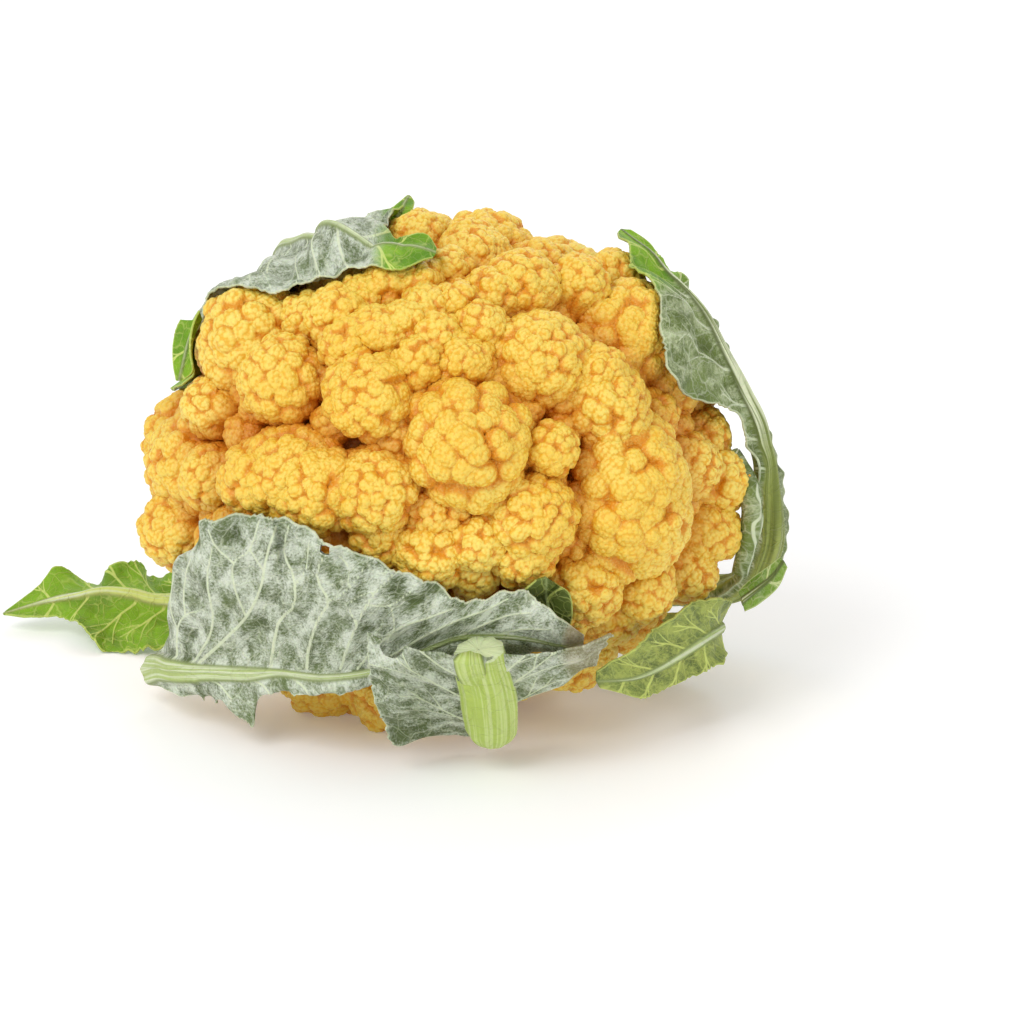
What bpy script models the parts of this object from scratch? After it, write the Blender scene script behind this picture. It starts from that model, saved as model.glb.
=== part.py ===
"""An orange cauliflower head lying on its side with its leaves, the curd towards the front.

The floor is z = 0, the front of the head looks along -Y and is leant back.
Points on the front of the head are written in millimetres across, up and out
of the head's middle, as seen by somebody who looks down on it a little.
"""
import math
import random

import bmesh
import bpy
import numpy as np
from mathutils import Vector

MM = 0.001
NAME = "orange_cauliflower"

# the head as a whole, in metres
HEAD_MIDDLE = Vector((0.0, 0.0, 0.074))
FRONT_TILT = math.radians(18.0)
ACROSS_WAY = Vector((1.0, 0.0, 0.0))
UP_WAY = Vector((0.0, math.sin(FRONT_TILT), math.cos(FRONT_TILT)))
OUT_WAY = Vector((0.0, -math.cos(FRONT_TILT), math.sin(FRONT_TILT)))
CURD_HALF_WIDTH = 0.091
CURD_HALF_HEIGHT = 0.077
CURD_HALF_DEPTH = 0.078
CURD_BACK_DEPTH = 0.064
CREVICE_FLOOR = 0.76
LEAST_DEPTH_SHARE = 0.02
SQUARENESS = 2.7
FRONT_BULGE = 1.04
CHIN_DEPTH = 0.12
CHIN_SPREAD = 0.5
FLORET_GROWTH = 1.18
FILL_SIZES = [(110, 0.0150, 0.0180, 0.70, 0.0), (420, 0.0100, 0.0125, 0.66, 0.003)]
UNDERSIDE_RADIUS = 0.040
UNDERSIDE_ANGLE = math.radians(34.0)
RIM_ANGLE = math.radians(50.0)
STALK_WAY = Vector((0.03, 0.79, -0.61)).normalized()
BUMP_RADIUS = 0.0062
BUMP_SPACING = 0.0108
BUMP_RISE = 0.0026
BUMP_JITTER = 0.09
BUMP_SHARE = 0.5
BUMP_CELL = 0.87
BUMP_SPREAD = (0.86, 1.1)
BUMP_SEED = 11
CURD_DETAIL = 6
CURD_SHARE = 0.41
REST_SNAP = 0.0004
REST_CUT = 0.0035

# the stalk from its cut end inward: distance from the head's middle and radius, in metres
STALK_RADIUS = 0.0185
STALK_PROFILE = [
    (0.0760, 0.0173), (0.0748, STALK_RADIUS), (0.0600, STALK_RADIUS),
    (0.0500, 0.0180), (0.0415, 0.0165),
]
STALK_SIDES = 24
BRANCH_COUNT = 8
BRANCH_TURN = 0.3
BRANCH_RADIUS = 0.0052
BRANCH_ROOT = (0.0535, 0.008)
BRANCH_LEANS = (26.0, 32.0, 37.0, 41.0)
BRANCH_TAPER = 0.03
BRANCH_GAP = 0.0012
BRANCH_REACH = 0.12
BRANCH_LOOKS = 12

# cut leaf stems: where they stand round the stalk, and their rows of gap, half width and along
STEM_ALONG = 0.069
STUB_DEGREES = (112.0, 277.0, 322.0)
STUB_ROWS = [(0.0012, 0.0070, 0.069), (0.0090, 0.0078, 0.069), (0.0170, 0.0078, 0.065),
             (0.0240, 0.0070, 0.060)]

# leaves, in metres
BLADE_THICKNESS = 0.0012
LEAF_CLEARANCE = 0.0033
FLOOR_CLEARANCE = 0.0009
EASE = 0.002
RIB_SHARE = 0.55
RIB_TAPER = 0.8
NARROW = 0.010
WIDE = 0.030
LEFT_PHASE = 2.1
NORMAL_TURNS = 4

WELD_GAP = 0.00001
GOLDEN_TURN = math.pi * (3.0 - math.sqrt(5.0))

# the front florets' table is read as seen from here: a distance, and the middle of the view
SEEN_FROM = 1500.0
SEEN_ACROSS = 21.2
SEEN_UP = -14.2

# florets on the front: across, up, radius and how far it is sunk, in millimetres
FLORETS = [
    (-55, 36, 15, 0), (-47, 25, 12, -1), (-21, 20, 12, -2), (-32, 44, 9, 1),
    (-42, 45, 8, 4), (-71, 0, 15, 0), (-83, -20, 12, 0), (-71, 18, 8, 2),
    (-50, -4, 13, 0), (-43, -2, 13, -1), (-36, -7, 13, -1), (-20, -7, 11, 1),
    (8, 6, 17, -4), (-28, 36, 8, 1), (-26, 49, 8, 2), (-16, 53, 8, 0),
    (-7, 54, 7, 0), (2, 58, 7, 0), (-5, 46, 7, 0), (4, 48, 7, 0),
    (12, 42, 7, 0), (15, 51, 8, 0), (-19, 39, 8, 0), (-11, 42, 7, 0),
    (-1, 38, 7, 0), (-8, 31, 7, 1), (7, 31, 8, 1), (23, 52, 10, -1),
    (28, 54, 7, 1), (10, 61, 10, 0), (-7, 67, 8, 0), (9, 66, 7, 0),
    (41, 54, 8, 0), (53, 57, 8, 0), (55, 38, 15, 0), (48, 27, 8, 2),
    (28, 30, 13, -1), (49, 17, 12, 0), (53, -13, 17, -3), (52, -3, 17, -3),
    (34, 5, 7, 2), (27, -15, 11, 1), (12, -25, 8, 3), (26, -28, 9, 3),
    (-4, -27, 11, 2), (11, -36, 7, 5), (-1, -16, 9, 8), (-20, -24, 8, 7),
    (81, -20, 9, 1), (78, -33, 9, 2), (83, -5, 9, 1), (81, 9, 8, 3),
    (69, 15, 8, 7), (63, -38, 10, 4), (44, -38, 11, 3), (41, -48, 8, 4),
    (57, -49, 9, 6), (73, 25, 9, 6), (-60, -42, 15, 4), (-40, -32, 13, 6),
    (-18, -44, 13, 4), (6, -50, 12, 4), (27, -50, 12, 4), (-62, -58, 11, 4),
    (70, 40, 9, 6), (-58, 55, 11, 8),
]

# where the head is drawn in under the front leaves, across, up and out
CHIN_PLACE = (4, -54, 52)

# florets the head lies on: to the right of the middle, to the front of it and radius
UNDER_FLORETS = [(0, 6, 21), (-32, 10, 18), (-12, 23, 17), (22, -12, 16)]


def front(across, up, out):
    """World point of a place given in millimetres across, up and out of the head's middle."""
    return HEAD_MIDDLE + MM * (ACROSS_WAY * across + UP_WAY * up + OUT_WAY * out)


def to_front(offset):
    """Millimetres across, up and out of an offset from the head's middle."""
    return (offset.dot(ACROSS_WAY) / MM, offset.dot(UP_WAY) / MM, offset.dot(OUT_WAY) / MM)


def clear_scene():
    """Remove whatever the file holds at the start."""
    for thing in list(bpy.data.objects):
        bpy.data.objects.remove(thing, do_unlink=True)
    for group in list(bpy.data.collections):
        bpy.data.collections.remove(group)


def new_collection(name):
    """A collection in the scene."""
    group = bpy.data.collections.new(name)
    bpy.context.scene.collection.children.link(group)
    return group


def new_material(name, colour, roughness):
    """A plain Principled material with no metal in it."""
    material = bpy.data.materials.new(name)
    material.use_nodes = True
    shader = material.node_tree.nodes["Principled BSDF"]
    shader.inputs["Base Color"].default_value = (*colour, 1.0)
    shader.inputs["Roughness"].default_value = roughness
    shader.inputs["Metallic"].default_value = 0.0
    return material


def new_object(name, mesh, group, material, place):
    """Put a mesh into the scene under a name, at its place and on the cauliflower's empty."""
    thing = bpy.data.objects.new(name, mesh)
    group.objects.link(thing)
    mesh.materials.append(material)
    mesh.shade_smooth()
    thing.location = place
    thing.parent = bpy.data.objects[NAME]
    return thing


def evaluated_mesh(thing):
    """The mesh of an object as its modifiers or its curve settings leave it."""
    seen = thing.evaluated_get(bpy.context.evaluated_depsgraph_get())
    return bpy.data.meshes.new_from_object(seen)


def even_ways(count, spin=0.0):
    """Unit directions spread evenly over a ball by the golden angle."""
    ways = []
    for index in range(count):
        height = 1.0 - 2.0 * (index + 0.5) / count
        ring = math.sqrt(1.0 - height * height)
        angle = spin + GOLDEN_TURN * index
        ways.append(Vector((ring * math.cos(angle), ring * math.sin(angle), height)))
    return ways


def floret_seats():
    """Centres and radii of the large florets, those of the front first, then the sides and back."""
    seats = []
    for across, up, seen, sink in FLORETS:
        radius = seen * FLORET_GROWTH
        wide = across * MM / (CURD_HALF_WIDTH - radius * MM)
        high = up * MM / (CURD_HALF_HEIGHT - radius * MM)
        rim = (abs(wide) ** SQUARENESS + abs(high) ** SQUARENESS) ** (2.0 / SQUARENESS)
        rest = max(1.0 - rim, LEAST_DEPTH_SHARE)
        out = (CURD_HALF_DEPTH / MM - radius) * math.sqrt(rest)
        nearer = 1.0 - out / SEEN_FROM
        place = front(SEEN_ACROSS + (across - SEEN_ACROSS) * nearer,
                      SEEN_UP + (up - SEEN_UP) * nearer, out) - HEAD_MIDDLE
        way = place.normalized()
        furthest = dome_radius(way) * FRONT_BULGE - radius * MM
        seats.append((way * (min(place.length, furthest) - sink * MM), radius * MM))
    for across, toward, radius in UNDER_FLORETS:
        low = radius * MM - REST_CUT - HEAD_MIDDLE.z
        seats.append((Vector((across * MM, -toward * MM, low)), radius * MM))
    for count, least, most, spacing, sink in FILL_SIZES:
        fill_seats(seats, count, least, most, spacing, sink)
    return seats


def fill_seats(seats, count, least, most, spacing, sink):
    """Add florets to the list wherever the even spread of places finds the dome still bare."""
    picker = random.Random(count)
    for way in even_ways(count):
        radius = picker.uniform(least, most)
        if way.angle(STALK_WAY) < RIM_ANGLE + radius / CURD_HALF_DEPTH:
            continue
        place = way * (dome_radius(way) - radius - sink)
        if all((place - other).length > spacing * (radius + size) for other, size in seats):
            seats.append((place, radius))


def dome_radius(way):
    """Distance from the head's middle to the even dome, along a unit direction."""
    out = way.dot(OUT_WAY)
    depth = CURD_HALF_DEPTH if out > 0.0 else CURD_BACK_DEPTH
    width_part = (way.dot(ACROSS_WAY) / CURD_HALF_WIDTH) ** 2
    height_part = (way.dot(UP_WAY) / CURD_HALF_HEIGHT) ** 2
    chin = way.angle(front(*CHIN_PLACE) - HEAD_MIDDLE) / CHIN_SPREAD
    drawn_in = 1.0 - CHIN_DEPTH * math.exp(-chin * chin)
    return drawn_in / math.sqrt(width_part + height_part + (out / depth) ** 2)


def floret_spheres(seats):
    """Every floret as a core with smaller florets over it, larger than life."""
    picker = random.Random(BUMP_SEED)
    spheres = []
    for centre, radius in seats:
        small = min(BUMP_RADIUS, radius * BUMP_SHARE)
        share = small / BUMP_RADIUS
        spheres.append((centre, radius - BUMP_RISE * share))
        cell = BUMP_CELL * (BUMP_SPACING * share) ** 2
        count = int(4.0 * math.pi * radius ** 2 / cell)
        for way in even_ways(count, picker.uniform(0.0, 2.0 * math.pi)):
            shift = Vector([picker.uniform(-BUMP_JITTER, BUMP_JITTER) for axis in range(3)])
            size = small * picker.uniform(*BUMP_SPREAD)
            spheres.append((centre + (way + shift).normalized() * (radius - size), size))
    return spheres


def reach(ways, spheres, extra=0.0):
    """How far the curd reaches from the head's middle along each unit direction."""
    centres = np.array([tuple(centre) for centre, radius in spheres])
    radii = np.array([radius for centre, radius in spheres]) + extra
    along = ways @ centres.T
    square = along ** 2 - (centres ** 2).sum(axis=1) + radii ** 2
    far = np.where(square > 0.0, along + np.sqrt(np.maximum(square, 0.0)), 0.0).max(axis=1)
    return np.maximum(far, base_reach(ways) + extra)


def base_reach(ways):
    """The ground between the florets, drawn in round the stalk at the back."""
    dome = np.array([dome_radius(Vector(way)) for way in ways]) * CREVICE_FLOOR
    angle = np.arccos(np.clip(ways @ np.array(STALK_WAY), -1.0, 1.0))
    share = np.clip((angle - UNDERSIDE_ANGLE) / (RIM_ANGLE - UNDERSIDE_ANGLE), 0.0, 1.0)
    share = share * share * (3.0 - 2.0 * share)
    return UNDERSIDE_RADIUS + (dome - UNDERSIDE_RADIUS) * share


def build_curd(group, material, spheres):
    """The head as one body, pushed out from a ball and flat where it lies on the floor."""
    shape = bmesh.new()
    bmesh.ops.create_icosphere(shape, subdivisions=CURD_DETAIL, radius=1.0)
    ways = np.array([tuple(vert.co.normalized()) for vert in shape.verts])
    far = reach(ways, spheres)
    down = np.minimum(ways[:, 2], -1e-6)
    floor = np.where(ways[:, 2] < 0.0, -HEAD_MIDDLE.z / down, 1.0)
    far = np.minimum(far, floor)
    for vert, way, distance in zip(shape.verts, ways, far):
        vert.co = Vector(way) * float(distance)
    mesh = bpy.data.meshes.new("curd_fine")
    shape.to_mesh(mesh)
    shape.free()
    curd = new_object("curd", mesh, group, material, HEAD_MIDDLE)
    thin = curd.modifiers.new("fewer faces", "DECIMATE")
    thin.ratio = CURD_SHARE
    finished = evaluated_mesh(curd)
    curd.modifiers.clear()
    curd.data = finished
    bpy.data.meshes.remove(mesh)
    for vert in finished.vertices:
        if vert.co.z < REST_SNAP - HEAD_MIDDLE.z:
            vert.co.z = -HEAD_MIDDLE.z


def curve_through(points, places):
    """Smooth curve through points, read at even places from 0 to 1."""
    points = np.array(points, dtype=float)
    count = len(points)
    padded = np.vstack([2 * points[0] - points[1], points, 2 * points[-1] - points[-2]])
    result = []
    for place in places:
        along = min(place * (count - 1), count - 1 - 1e-9)
        index = int(along)
        part = along - index
        a, b, c, d = padded[index:index + 4]
        result.append(0.5 * (2 * b + (c - a) * part + (2 * a - 5 * b + 4 * c - d) * part ** 2
                             + (3 * b - a - 3 * c + d) * part ** 3))
    return np.array(result)


def stalk_side(degrees):
    """Direction out of the stalk: 0 to the right, 90 down, 180 to the left, 270 up."""
    side = (ACROSS_WAY - STALK_WAY * STALK_WAY.x).normalized()
    other = STALK_WAY.cross(side)
    turn = math.radians(degrees)
    return side * math.cos(turn) + other * math.sin(turn)


def stalk_row(degrees, gap, half_width, along=STEM_ALONG):
    """A row of a leaf stem a gap off the stalk: middle, left and right edge, as front places."""
    way = stalk_side(degrees)
    across = STALK_WAY.cross(way)
    middle = STALK_WAY * along + way * (STALK_RADIUS + gap)
    return tuple(to_front(middle + across * step) for step in (0.0, -half_width, half_width))


def leaf_surface(rows, bow, wave, waves, teeth, sag, count, columns):
    """Middle surface of a leaf blade from its rows: midrib, left edge and right edge."""
    places = np.linspace(0.0, 1.0, count)
    lines = []
    for line in range(3):
        lines.append(curve_through([tuple(front(*row[line])) for row in rows], places))
    middle, left, right = lines
    steps = np.linspace(-1.0, 1.0, columns + 1)
    grid = np.zeros((count, columns + 1, 3))
    tangent = np.gradient(middle, axis=0)
    for row in range(count):
        across = right[row] - left[row]
        normal = np.cross(across, tangent[row])
        normal = normal / max(np.linalg.norm(normal), 1e-9)
        width = np.linalg.norm(across)
        tooth = 0.5 * teeth * (-1.0) ** (row + 1)
        fade = min(1.0, max(width - NARROW, 0.0) / (WIDE - NARROW))
        for column, step in enumerate(steps):
            edge = right[row] if step > 0.0 else left[row]
            share = abs(step)
            point = middle[row] + (edge - middle[row]) * share * (1.0 + tooth * fade * share ** 3)
            point = point + normal * bow * width * share * (1.0 - share)
            phase = waves * 2.0 * math.pi * places[row] + (0.0 if step > 0.0 else LEFT_PHASE)
            point = point + normal * wave * share ** 2 * math.sin(phase) * fade
            point[2] -= sag * places[row] * 4.0 * share * (1.0 - share)
            grid[row, column] = point
    return grid


def eased(value, least):
    """Keep a value above a limit without folding what lies below it flat."""
    gap = value - least
    return least + 0.5 * (gap + np.sqrt(gap * gap + EASE * EASE))


def front_limit(points, seats):
    """How far out each point must lie to be in front of the curd, over where it is seen."""
    out_way = np.array(OUT_WAY)
    limit = np.full(len(points), -1.0)
    for centre, radius in seats:
        gap = points - np.array(centre)
        along = gap @ out_way
        square = (radius + LEAF_CLEARANCE) ** 2 - ((gap ** 2).sum(axis=1) - along ** 2)
        here = points @ out_way - along + np.sqrt(np.maximum(square, 0.0))
        limit = np.where(square > 0.0, np.maximum(limit, here), limit)
    return limit


def off_the_floor(offsets, half, shape):
    """A leaf's surface back in the world, lifted until its lower side clears the floor."""
    points = offsets + np.array(HEAD_MIDDLE)
    points[:, 2] = eased(points[:, 2], half.reshape(-1) + FLOOR_CLEARANCE)
    return points.reshape(shape)


def in_front_of_head(grid, half, seats):
    """Move a leaf's surface straight out until the curd is behind it."""
    flat = grid.reshape(-1, 3) - np.array(HEAD_MIDDLE)
    out_way = np.array(OUT_WAY)
    out = flat @ out_way
    limit = front_limit(flat, seats) + half.reshape(-1)
    flat = flat + (eased(out, limit) - out)[:, None] * out_way
    return off_the_floor(flat, half, grid.shape)


def clear_of_head(grid, half, seats):
    """Push a leaf's surface away from the head's middle, off the curd."""
    flat = grid.reshape(-1, 3) - np.array(HEAD_MIDDLE)
    distance = np.linalg.norm(flat, axis=1)
    ways = flat / distance[:, None]
    limit = reach(ways, seats, LEAF_CLEARANCE) + half.reshape(-1)
    return off_the_floor(ways * eased(distance, limit)[:, None], half, grid.shape)


def unit(vectors):
    """A grid of vectors, each brought to length one."""
    return vectors / np.maximum(np.linalg.norm(vectors, axis=2), 1e-9)[:, :, None]


def even_normals(grid):
    """Unit normals of a grid, evened out between neighbours so that a thick rib stays whole."""
    normal = unit(np.cross(np.gradient(grid, axis=1), np.gradient(grid, axis=0)))
    for turn in range(NORMAL_TURNS):
        for axis in (0, 1):
            count = normal.shape[axis]
            before = np.take(normal, np.maximum(np.arange(count) - 1, 0), axis)
            after = np.take(normal, np.minimum(np.arange(count) + 1, count - 1), axis)
            normal = 0.5 * normal + 0.25 * (before + after)
        normal = unit(normal)
    return normal


def build_leaf(name, group, material, rows, seats, stem, bow=0.1, wave=0.003, waves=3.0,
               teeth=0.08, sag=0.0, count=20, columns=8, taper=1.2, loose=False):
    """A leaf as one closed body: a thin waved blade that thickens into its midrib.

    stem is the midrib's thickness at its base, bow how far the blade is cupped, wave and
    waves its ripples, teeth the cut of its edge and sag how far it hangs between rib and edge.
    """
    grid = leaf_surface(rows, bow, wave, waves, teeth, sag, count, columns)
    centre = grid[:, columns // 2][:, None]
    width = np.linalg.norm(grid - centre, axis=2)
    places = np.linspace(0.0, 1.0, count)[:, None]
    rib = stem * (1.0 - places) ** taper
    rib_width = RIB_SHARE * stem * (1.0 - RIB_TAPER * places) + BLADE_THICKNESS
    half = 0.5 * (BLADE_THICKNESS + rib * np.exp(-(width / rib_width) ** 2))
    settle = in_front_of_head if loose else clear_of_head
    grid = settle(grid, half, seats)
    shift = even_normals(grid) * half[:, :, None]
    points = np.concatenate([(grid + shift).reshape(-1, 3), (grid - shift).reshape(-1, 3)])
    base = grid[0, columns // 2]
    mesh = bpy.data.meshes.new(name)
    mesh.from_pydata((points - base).tolist(), [], closed_faces(count, columns + 1))
    new_object(name, mesh, group, material, Vector(base))


def closed_faces(count, width):
    """Triangles of a closed slab over a grid, cut alike on both sides."""
    faces = []
    other = count * width
    for row in range(count - 1):
        for column in range(width - 1):
            a = row * width + column
            b = a + 1
            c = a + width + 1
            d = a + width
            faces += [(a, b, c), (a, c, d)]
            faces += [(other + c, other + b, other + a), (other + d, other + c, other + a)]
    border = list(range(width))
    border += [row * width + width - 1 for row in range(1, count)]
    border += [(count - 1) * width + column for column in range(width - 2, -1, -1)]
    border += [row * width for row in range(count - 2, 0, -1)]
    for index, first in enumerate(border):
        second = border[(index + 1) % len(border)]
        faces += [(second, first, other + first), (second, other + first, other + second)]
    return faces


def turned(name, group, material, profile, place, way, sides):
    """A solid turned round a line from a profile of distances along it and radii."""
    points = [(0.0, 0.0, profile[0][0])]
    points += [(radius, 0.0, along) for along, radius in profile]
    points.append((0.0, 0.0, profile[-1][0]))
    mesh = bpy.data.meshes.new(name)
    mesh.from_pydata(points, [(index, index + 1) for index in range(len(points) - 1)], [])
    thing = new_object(name, mesh, group, material, place)
    thing.rotation_mode = "QUATERNION"
    thing.rotation_quaternion = way.to_track_quat("Z", "Y")
    turn = thing.modifiers.new("turn", "SCREW")
    turn.steps = sides
    turn.render_steps = sides
    turn.use_merge_vertices = True
    turn.merge_threshold = WELD_GAP
    return thing


def tube(name, group, material, points, radii):
    """A tapering tube with closed ends along points, made a mesh so that it can be joined."""
    curve = bpy.data.curves.new(name, "CURVE")
    curve.dimensions = "3D"
    curve.bevel_depth = 1.0
    curve.bevel_resolution = 3
    curve.use_fill_caps = True
    line = curve.splines.new("POLY")
    line.points.add(len(points) - 1)
    for spot, point, radius in zip(line.points, points, radii):
        spot.co = (*point, 1.0)
        spot.radius = radius
    wire = bpy.data.objects.new(name + "_line", curve)
    group.objects.link(wire)
    mesh = evaluated_mesh(wire)
    bpy.data.objects.remove(wire)
    shape = bmesh.new()
    shape.from_mesh(mesh)
    bmesh.ops.remove_doubles(shape, verts=shape.verts, dist=WELD_GAP)
    bmesh.ops.triangulate(shape, faces=shape.faces)
    shape.to_mesh(mesh)
    shape.free()
    return new_object(name, mesh, group, material, Vector())


def join_all(thing, group):
    """Join every object of a collection to one, in one Boolean union, and remove them."""
    join = thing.modifiers.new("join", "BOOLEAN")
    join.operation = "UNION"
    join.solver = "EXACT"
    join.operand_type = "COLLECTION"
    join.collection = group
    finished = evaluated_mesh(thing)
    thing.modifiers.clear()
    thing.data = finished
    for other in list(group.objects):
        bpy.data.objects.remove(other)
    bpy.data.collections.remove(group)


def branch_distance(way, spheres):
    """How far out a branch must run along a direction to lie on the underside of the curd."""
    side = way.orthogonal().normalized()
    other = way.cross(side)
    ways = [tuple(way)]
    for step in range(BRANCH_LOOKS):
        angle = 2.0 * math.pi * step / BRANCH_LOOKS
        spread = (side * math.cos(angle) + other * math.sin(angle)) * BRANCH_REACH
        ways.append(tuple((way + spread).normalized()))
    return float(reach(np.array(ways), spheres, BRANCH_GAP).max()) + BRANCH_RADIUS


def branch_spots(radial, spheres):
    """Points along a branch, from inside the stalk out along the underside of the curd."""
    along, aside = BRANCH_ROOT
    spots = [HEAD_MIDDLE + STALK_WAY * along + radial * aside]
    for lean in BRANCH_LEANS:
        way = STALK_WAY * math.cos(math.radians(lean)) + radial * math.sin(math.radians(lean))
        spot = HEAD_MIDDLE + way * branch_distance(way, spheres)
        if spot.z > 2.0 * BRANCH_RADIUS:
            spots.append(spot)
    return spots


def build_stalk(group, material, spheres):
    """The cut stalk and the branches that spread from it under the florets."""
    stalk = turned("stalk", group, material, STALK_PROFILE, HEAD_MIDDLE, STALK_WAY, STALK_SIDES)
    branches = new_collection(NAME + "_branches")
    for index in range(BRANCH_COUNT):
        side = stalk_side(360.0 * (index + BRANCH_TURN) / BRANCH_COUNT)
        spots = branch_spots(side, spheres)
        if len(spots) < 3:
            continue
        shares = [1.0 - BRANCH_TAPER * step * step for step in range(len(spots))]
        radii = [BRANCH_RADIUS * share for share in shares]
        tube("branch_%d" % (index + 1), branches, material, spots, radii)
    join_all(stalk, branches)


def build_leaf_right(group, material, seats):
    """The leaf that wraps up the right side of the head."""
    rows = [
        stalk_row(8.0, 0.0010, -0.0075),
        ((50, -31, -62), (47, -38, -60), (53, -24, -64)),
        ((78, -39, -54), (74, -44, -50), (83, -34, -58)),
        ((94, -36, -40), (89, -38, -36), (100, -34, -45)),
        ((100, -25, -22), (94, -26, -18), (106, -25, -30)),
        ((100, -11, -6), (95, -12, -2), (105, -10, -20)),
        ((96, 8, 6), (92, 4, 12), (101, 6, -8)),
        ((91, 20, 12), (88, 15, 18), (96, 18, -6)),
        ((85, 31, 16), (71, 23, 42), (91, 28, -6)),
        ((79, 43, 18), (64, 38, 42), (85, 39, -6)),
        ((71, 53, 16), (59, 50, 34), (77, 49, -4)),
        ((63, 61, 12), (55, 60, 24), (70, 59, 0)),
        ((58, 67, 8), (53, 66, 14), (64, 66, 2)),
        ((54, 71, 4), (53, 70, 6), (57, 71, 3)),
    ]
    build_leaf("leaf_right", group, material, rows, seats, 0.0095, bow=-0.10, wave=0.0012,
               count=28, taper=1.0)


def build_leaf_top_left(group, material, seats):
    """The leaf that comes over the head from behind, at the upper left."""
    rows = [
        stalk_row(228.0, 0.0010, 0.0075),
        ((-28, 18, -76), (-36, 14, -74), (-18, 20, -76)),
        ((-44, 44, -64), (-68, 24, -58), (-22, 52, -68)),
        ((-50, 58, -38), (-84, 25, -22), (-34, 70, -54)),
        ((-47, 65, -18), (-78, 27, 0), (-31, 73, -38)),
        ((-42, 68, -2), (-68, 45, 22), (-29, 74, -26)),
        ((-34, 67, 18), (-52, 49, 40), (-22, 75, -12)),
        ((-26, 64, 31), (-38, 53, 47), (-12, 80, -5)),
        ((-18, 63, 40), (-24, 57, 49), (-16, 68, 22)),
        ((-11, 63, 45), (-15, 55, 53), (-11, 67, 38)),
        ((-5, 62, 49), (-8, 57, 53), (-4, 67, 42)),
        ((-1, 61, 50), (-2, 59, 51), (-1, 63, 48)),
    ]
    build_leaf("leaf_top_left", group, material, rows, seats, 0.0075, bow=0.12, wave=0.001,
               count=28, taper=1.6)


def build_leaf_left(group, material, seats):
    """The leaf that lies on the floor at the left."""
    rows = [
        stalk_row(165.0, 0.0010, -0.0075),
        ((-56, -38, -68), (-56, -31, -72), (-56, -44, -64)),
        ((-87, -43, -72), (-90, -33, -86), (-88, -57, -58)),
        ((-100, -41, -74), (-97, -30, -88), (-100, -58, -57)),
        ((-108, -40, -75), (-105, -34, -87), (-108, -58, -58)),
        ((-116, -41, -76), (-114, -36, -85), (-115, -51, -66)),
        ((-123, -42, -76), (-123, -32, -84), (-122, -47, -72)),
        ((-131, -44, -78), (-130, -38, -83), (-131, -48, -74)),
        ((-141, -47, -79), (-140, -46, -80), (-140, -47, -78)),
    ]
    build_leaf("leaf_left", group, material, rows, seats, 0.0075, bow=0.08, count=18, columns=6)


def build_leaf_low_right(group, material, seats):
    """The narrow leaf that runs under the head at the low right."""
    rows = [
        stalk_row(60.0, 0.0010, 0.0075),
        ((48, -50, -46), (42, -46, -44), (52, -54, -48)),
        ((80, -51, -24), (84, -43, -14), (80, -57, -30)),
        ((84, -49, -2), (86, -41, 6), (87, -56, -7)),
        ((79, -52, 14), (76, -41, 24), (83, -59, 10)),
        ((69, -58, 26), (62, -50, 36), (73, -65, 22)),
        ((58, -63, 34), (54, -56, 42), (61, -69, 30)),
        ((46, -64, 42), (46, -61, 43), (47, -66, 40)),
    ]
    build_leaf("leaf_low_right", group, material, rows, seats, 0.0065, bow=0.05,
               count=16, columns=6)


def build_leaf_front(group, material, seats):
    """The large cut leaf that leans against the front, its midrib along the floor."""
    rows = [
        ((-89, -63, -16), (-88, -59, -17), (-88, -67, -14)),
        ((-84, -62, -6), (-84, -54, -6), (-84, -68, -4)),
        ((-80, -62, 2), (-83, -46, 6), (-78, -70, 4)),
        ((-76, -62, 8), (-80, -29, 26), (-73, -71, 10)),
        ((-73, -62, 11), (-74, -25, 37), (-71, -71, 12)),
        ((-71, -62, 13), (-71, -17, 48), (-69, -72, 15)),
        ((-67, -62, 17), (-68, -16, 52), (-66, -72, 18)),
        ((-58, -62, 24), (-58, -16, 62), (-56, -77, 24)),
        ((-52, -62, 28), (-51, -16, 67), (-53, -69, 28)),
        ((-46, -62, 32), (-44, -17, 71), (-46, -68, 35)),
        ((-34, -63, 40), (-29, -23, 74), (-34, -69, 42)),
        ((-20, -61, 46), (-12, -30, 70), (-20, -66, 46)),
        ((-10, -57, 50), (1, -37, 68), (-8, -61, 48)),
        ((3, -51, 55), (11, -41, 67), (5, -58, 50)),
        ((14, -50, 57), (21, -37, 67), (16, -58, 50)),
        ((26, -51, 57), (31, -42, 66), (27, -57, 50)),
        ((36, -53, 53), (38, -47, 60), (36, -56, 50)),
        ((42, -52, 51), (42, -50, 52), (42, -54, 50)),
    ]
    build_leaf("leaf_front", group, material, rows, seats, 0.0065, bow=0.08, wave=0.0015,
               teeth=0.06, count=32, columns=10, loose=True)


def build_leaf_front_cut(group, material, seats):
    """The short cut leaf in front, with its thick stem standing on the floor."""
    rows = [
        ((14, -80, 32), (2, -81, 34), (21, -74, 32)),
        ((14, -77, 36), (-12, -83, 40), (26, -70, 37)),
        ((14, -74, 42), (-17, -77, 47), (32, -66, 41)),
        ((13, -70, 50), (-20, -70, 54), (39, -63, 44)),
        ((12, -65, 58), (-21, -63, 60), (46, -59, 48)),
        ((10, -60, 66), (-21, -56, 66), (50, -54, 53)),
        ((9, -56, 71), (-21, -49, 70), (51, -51, 57)),
    ]
    build_leaf("leaf_front_cut", group, material, rows, seats, 0.0125, bow=0.0, wave=0.0,
               teeth=0.0, sag=0.007, count=14, columns=12, taper=0.0, loose=True)


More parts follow.
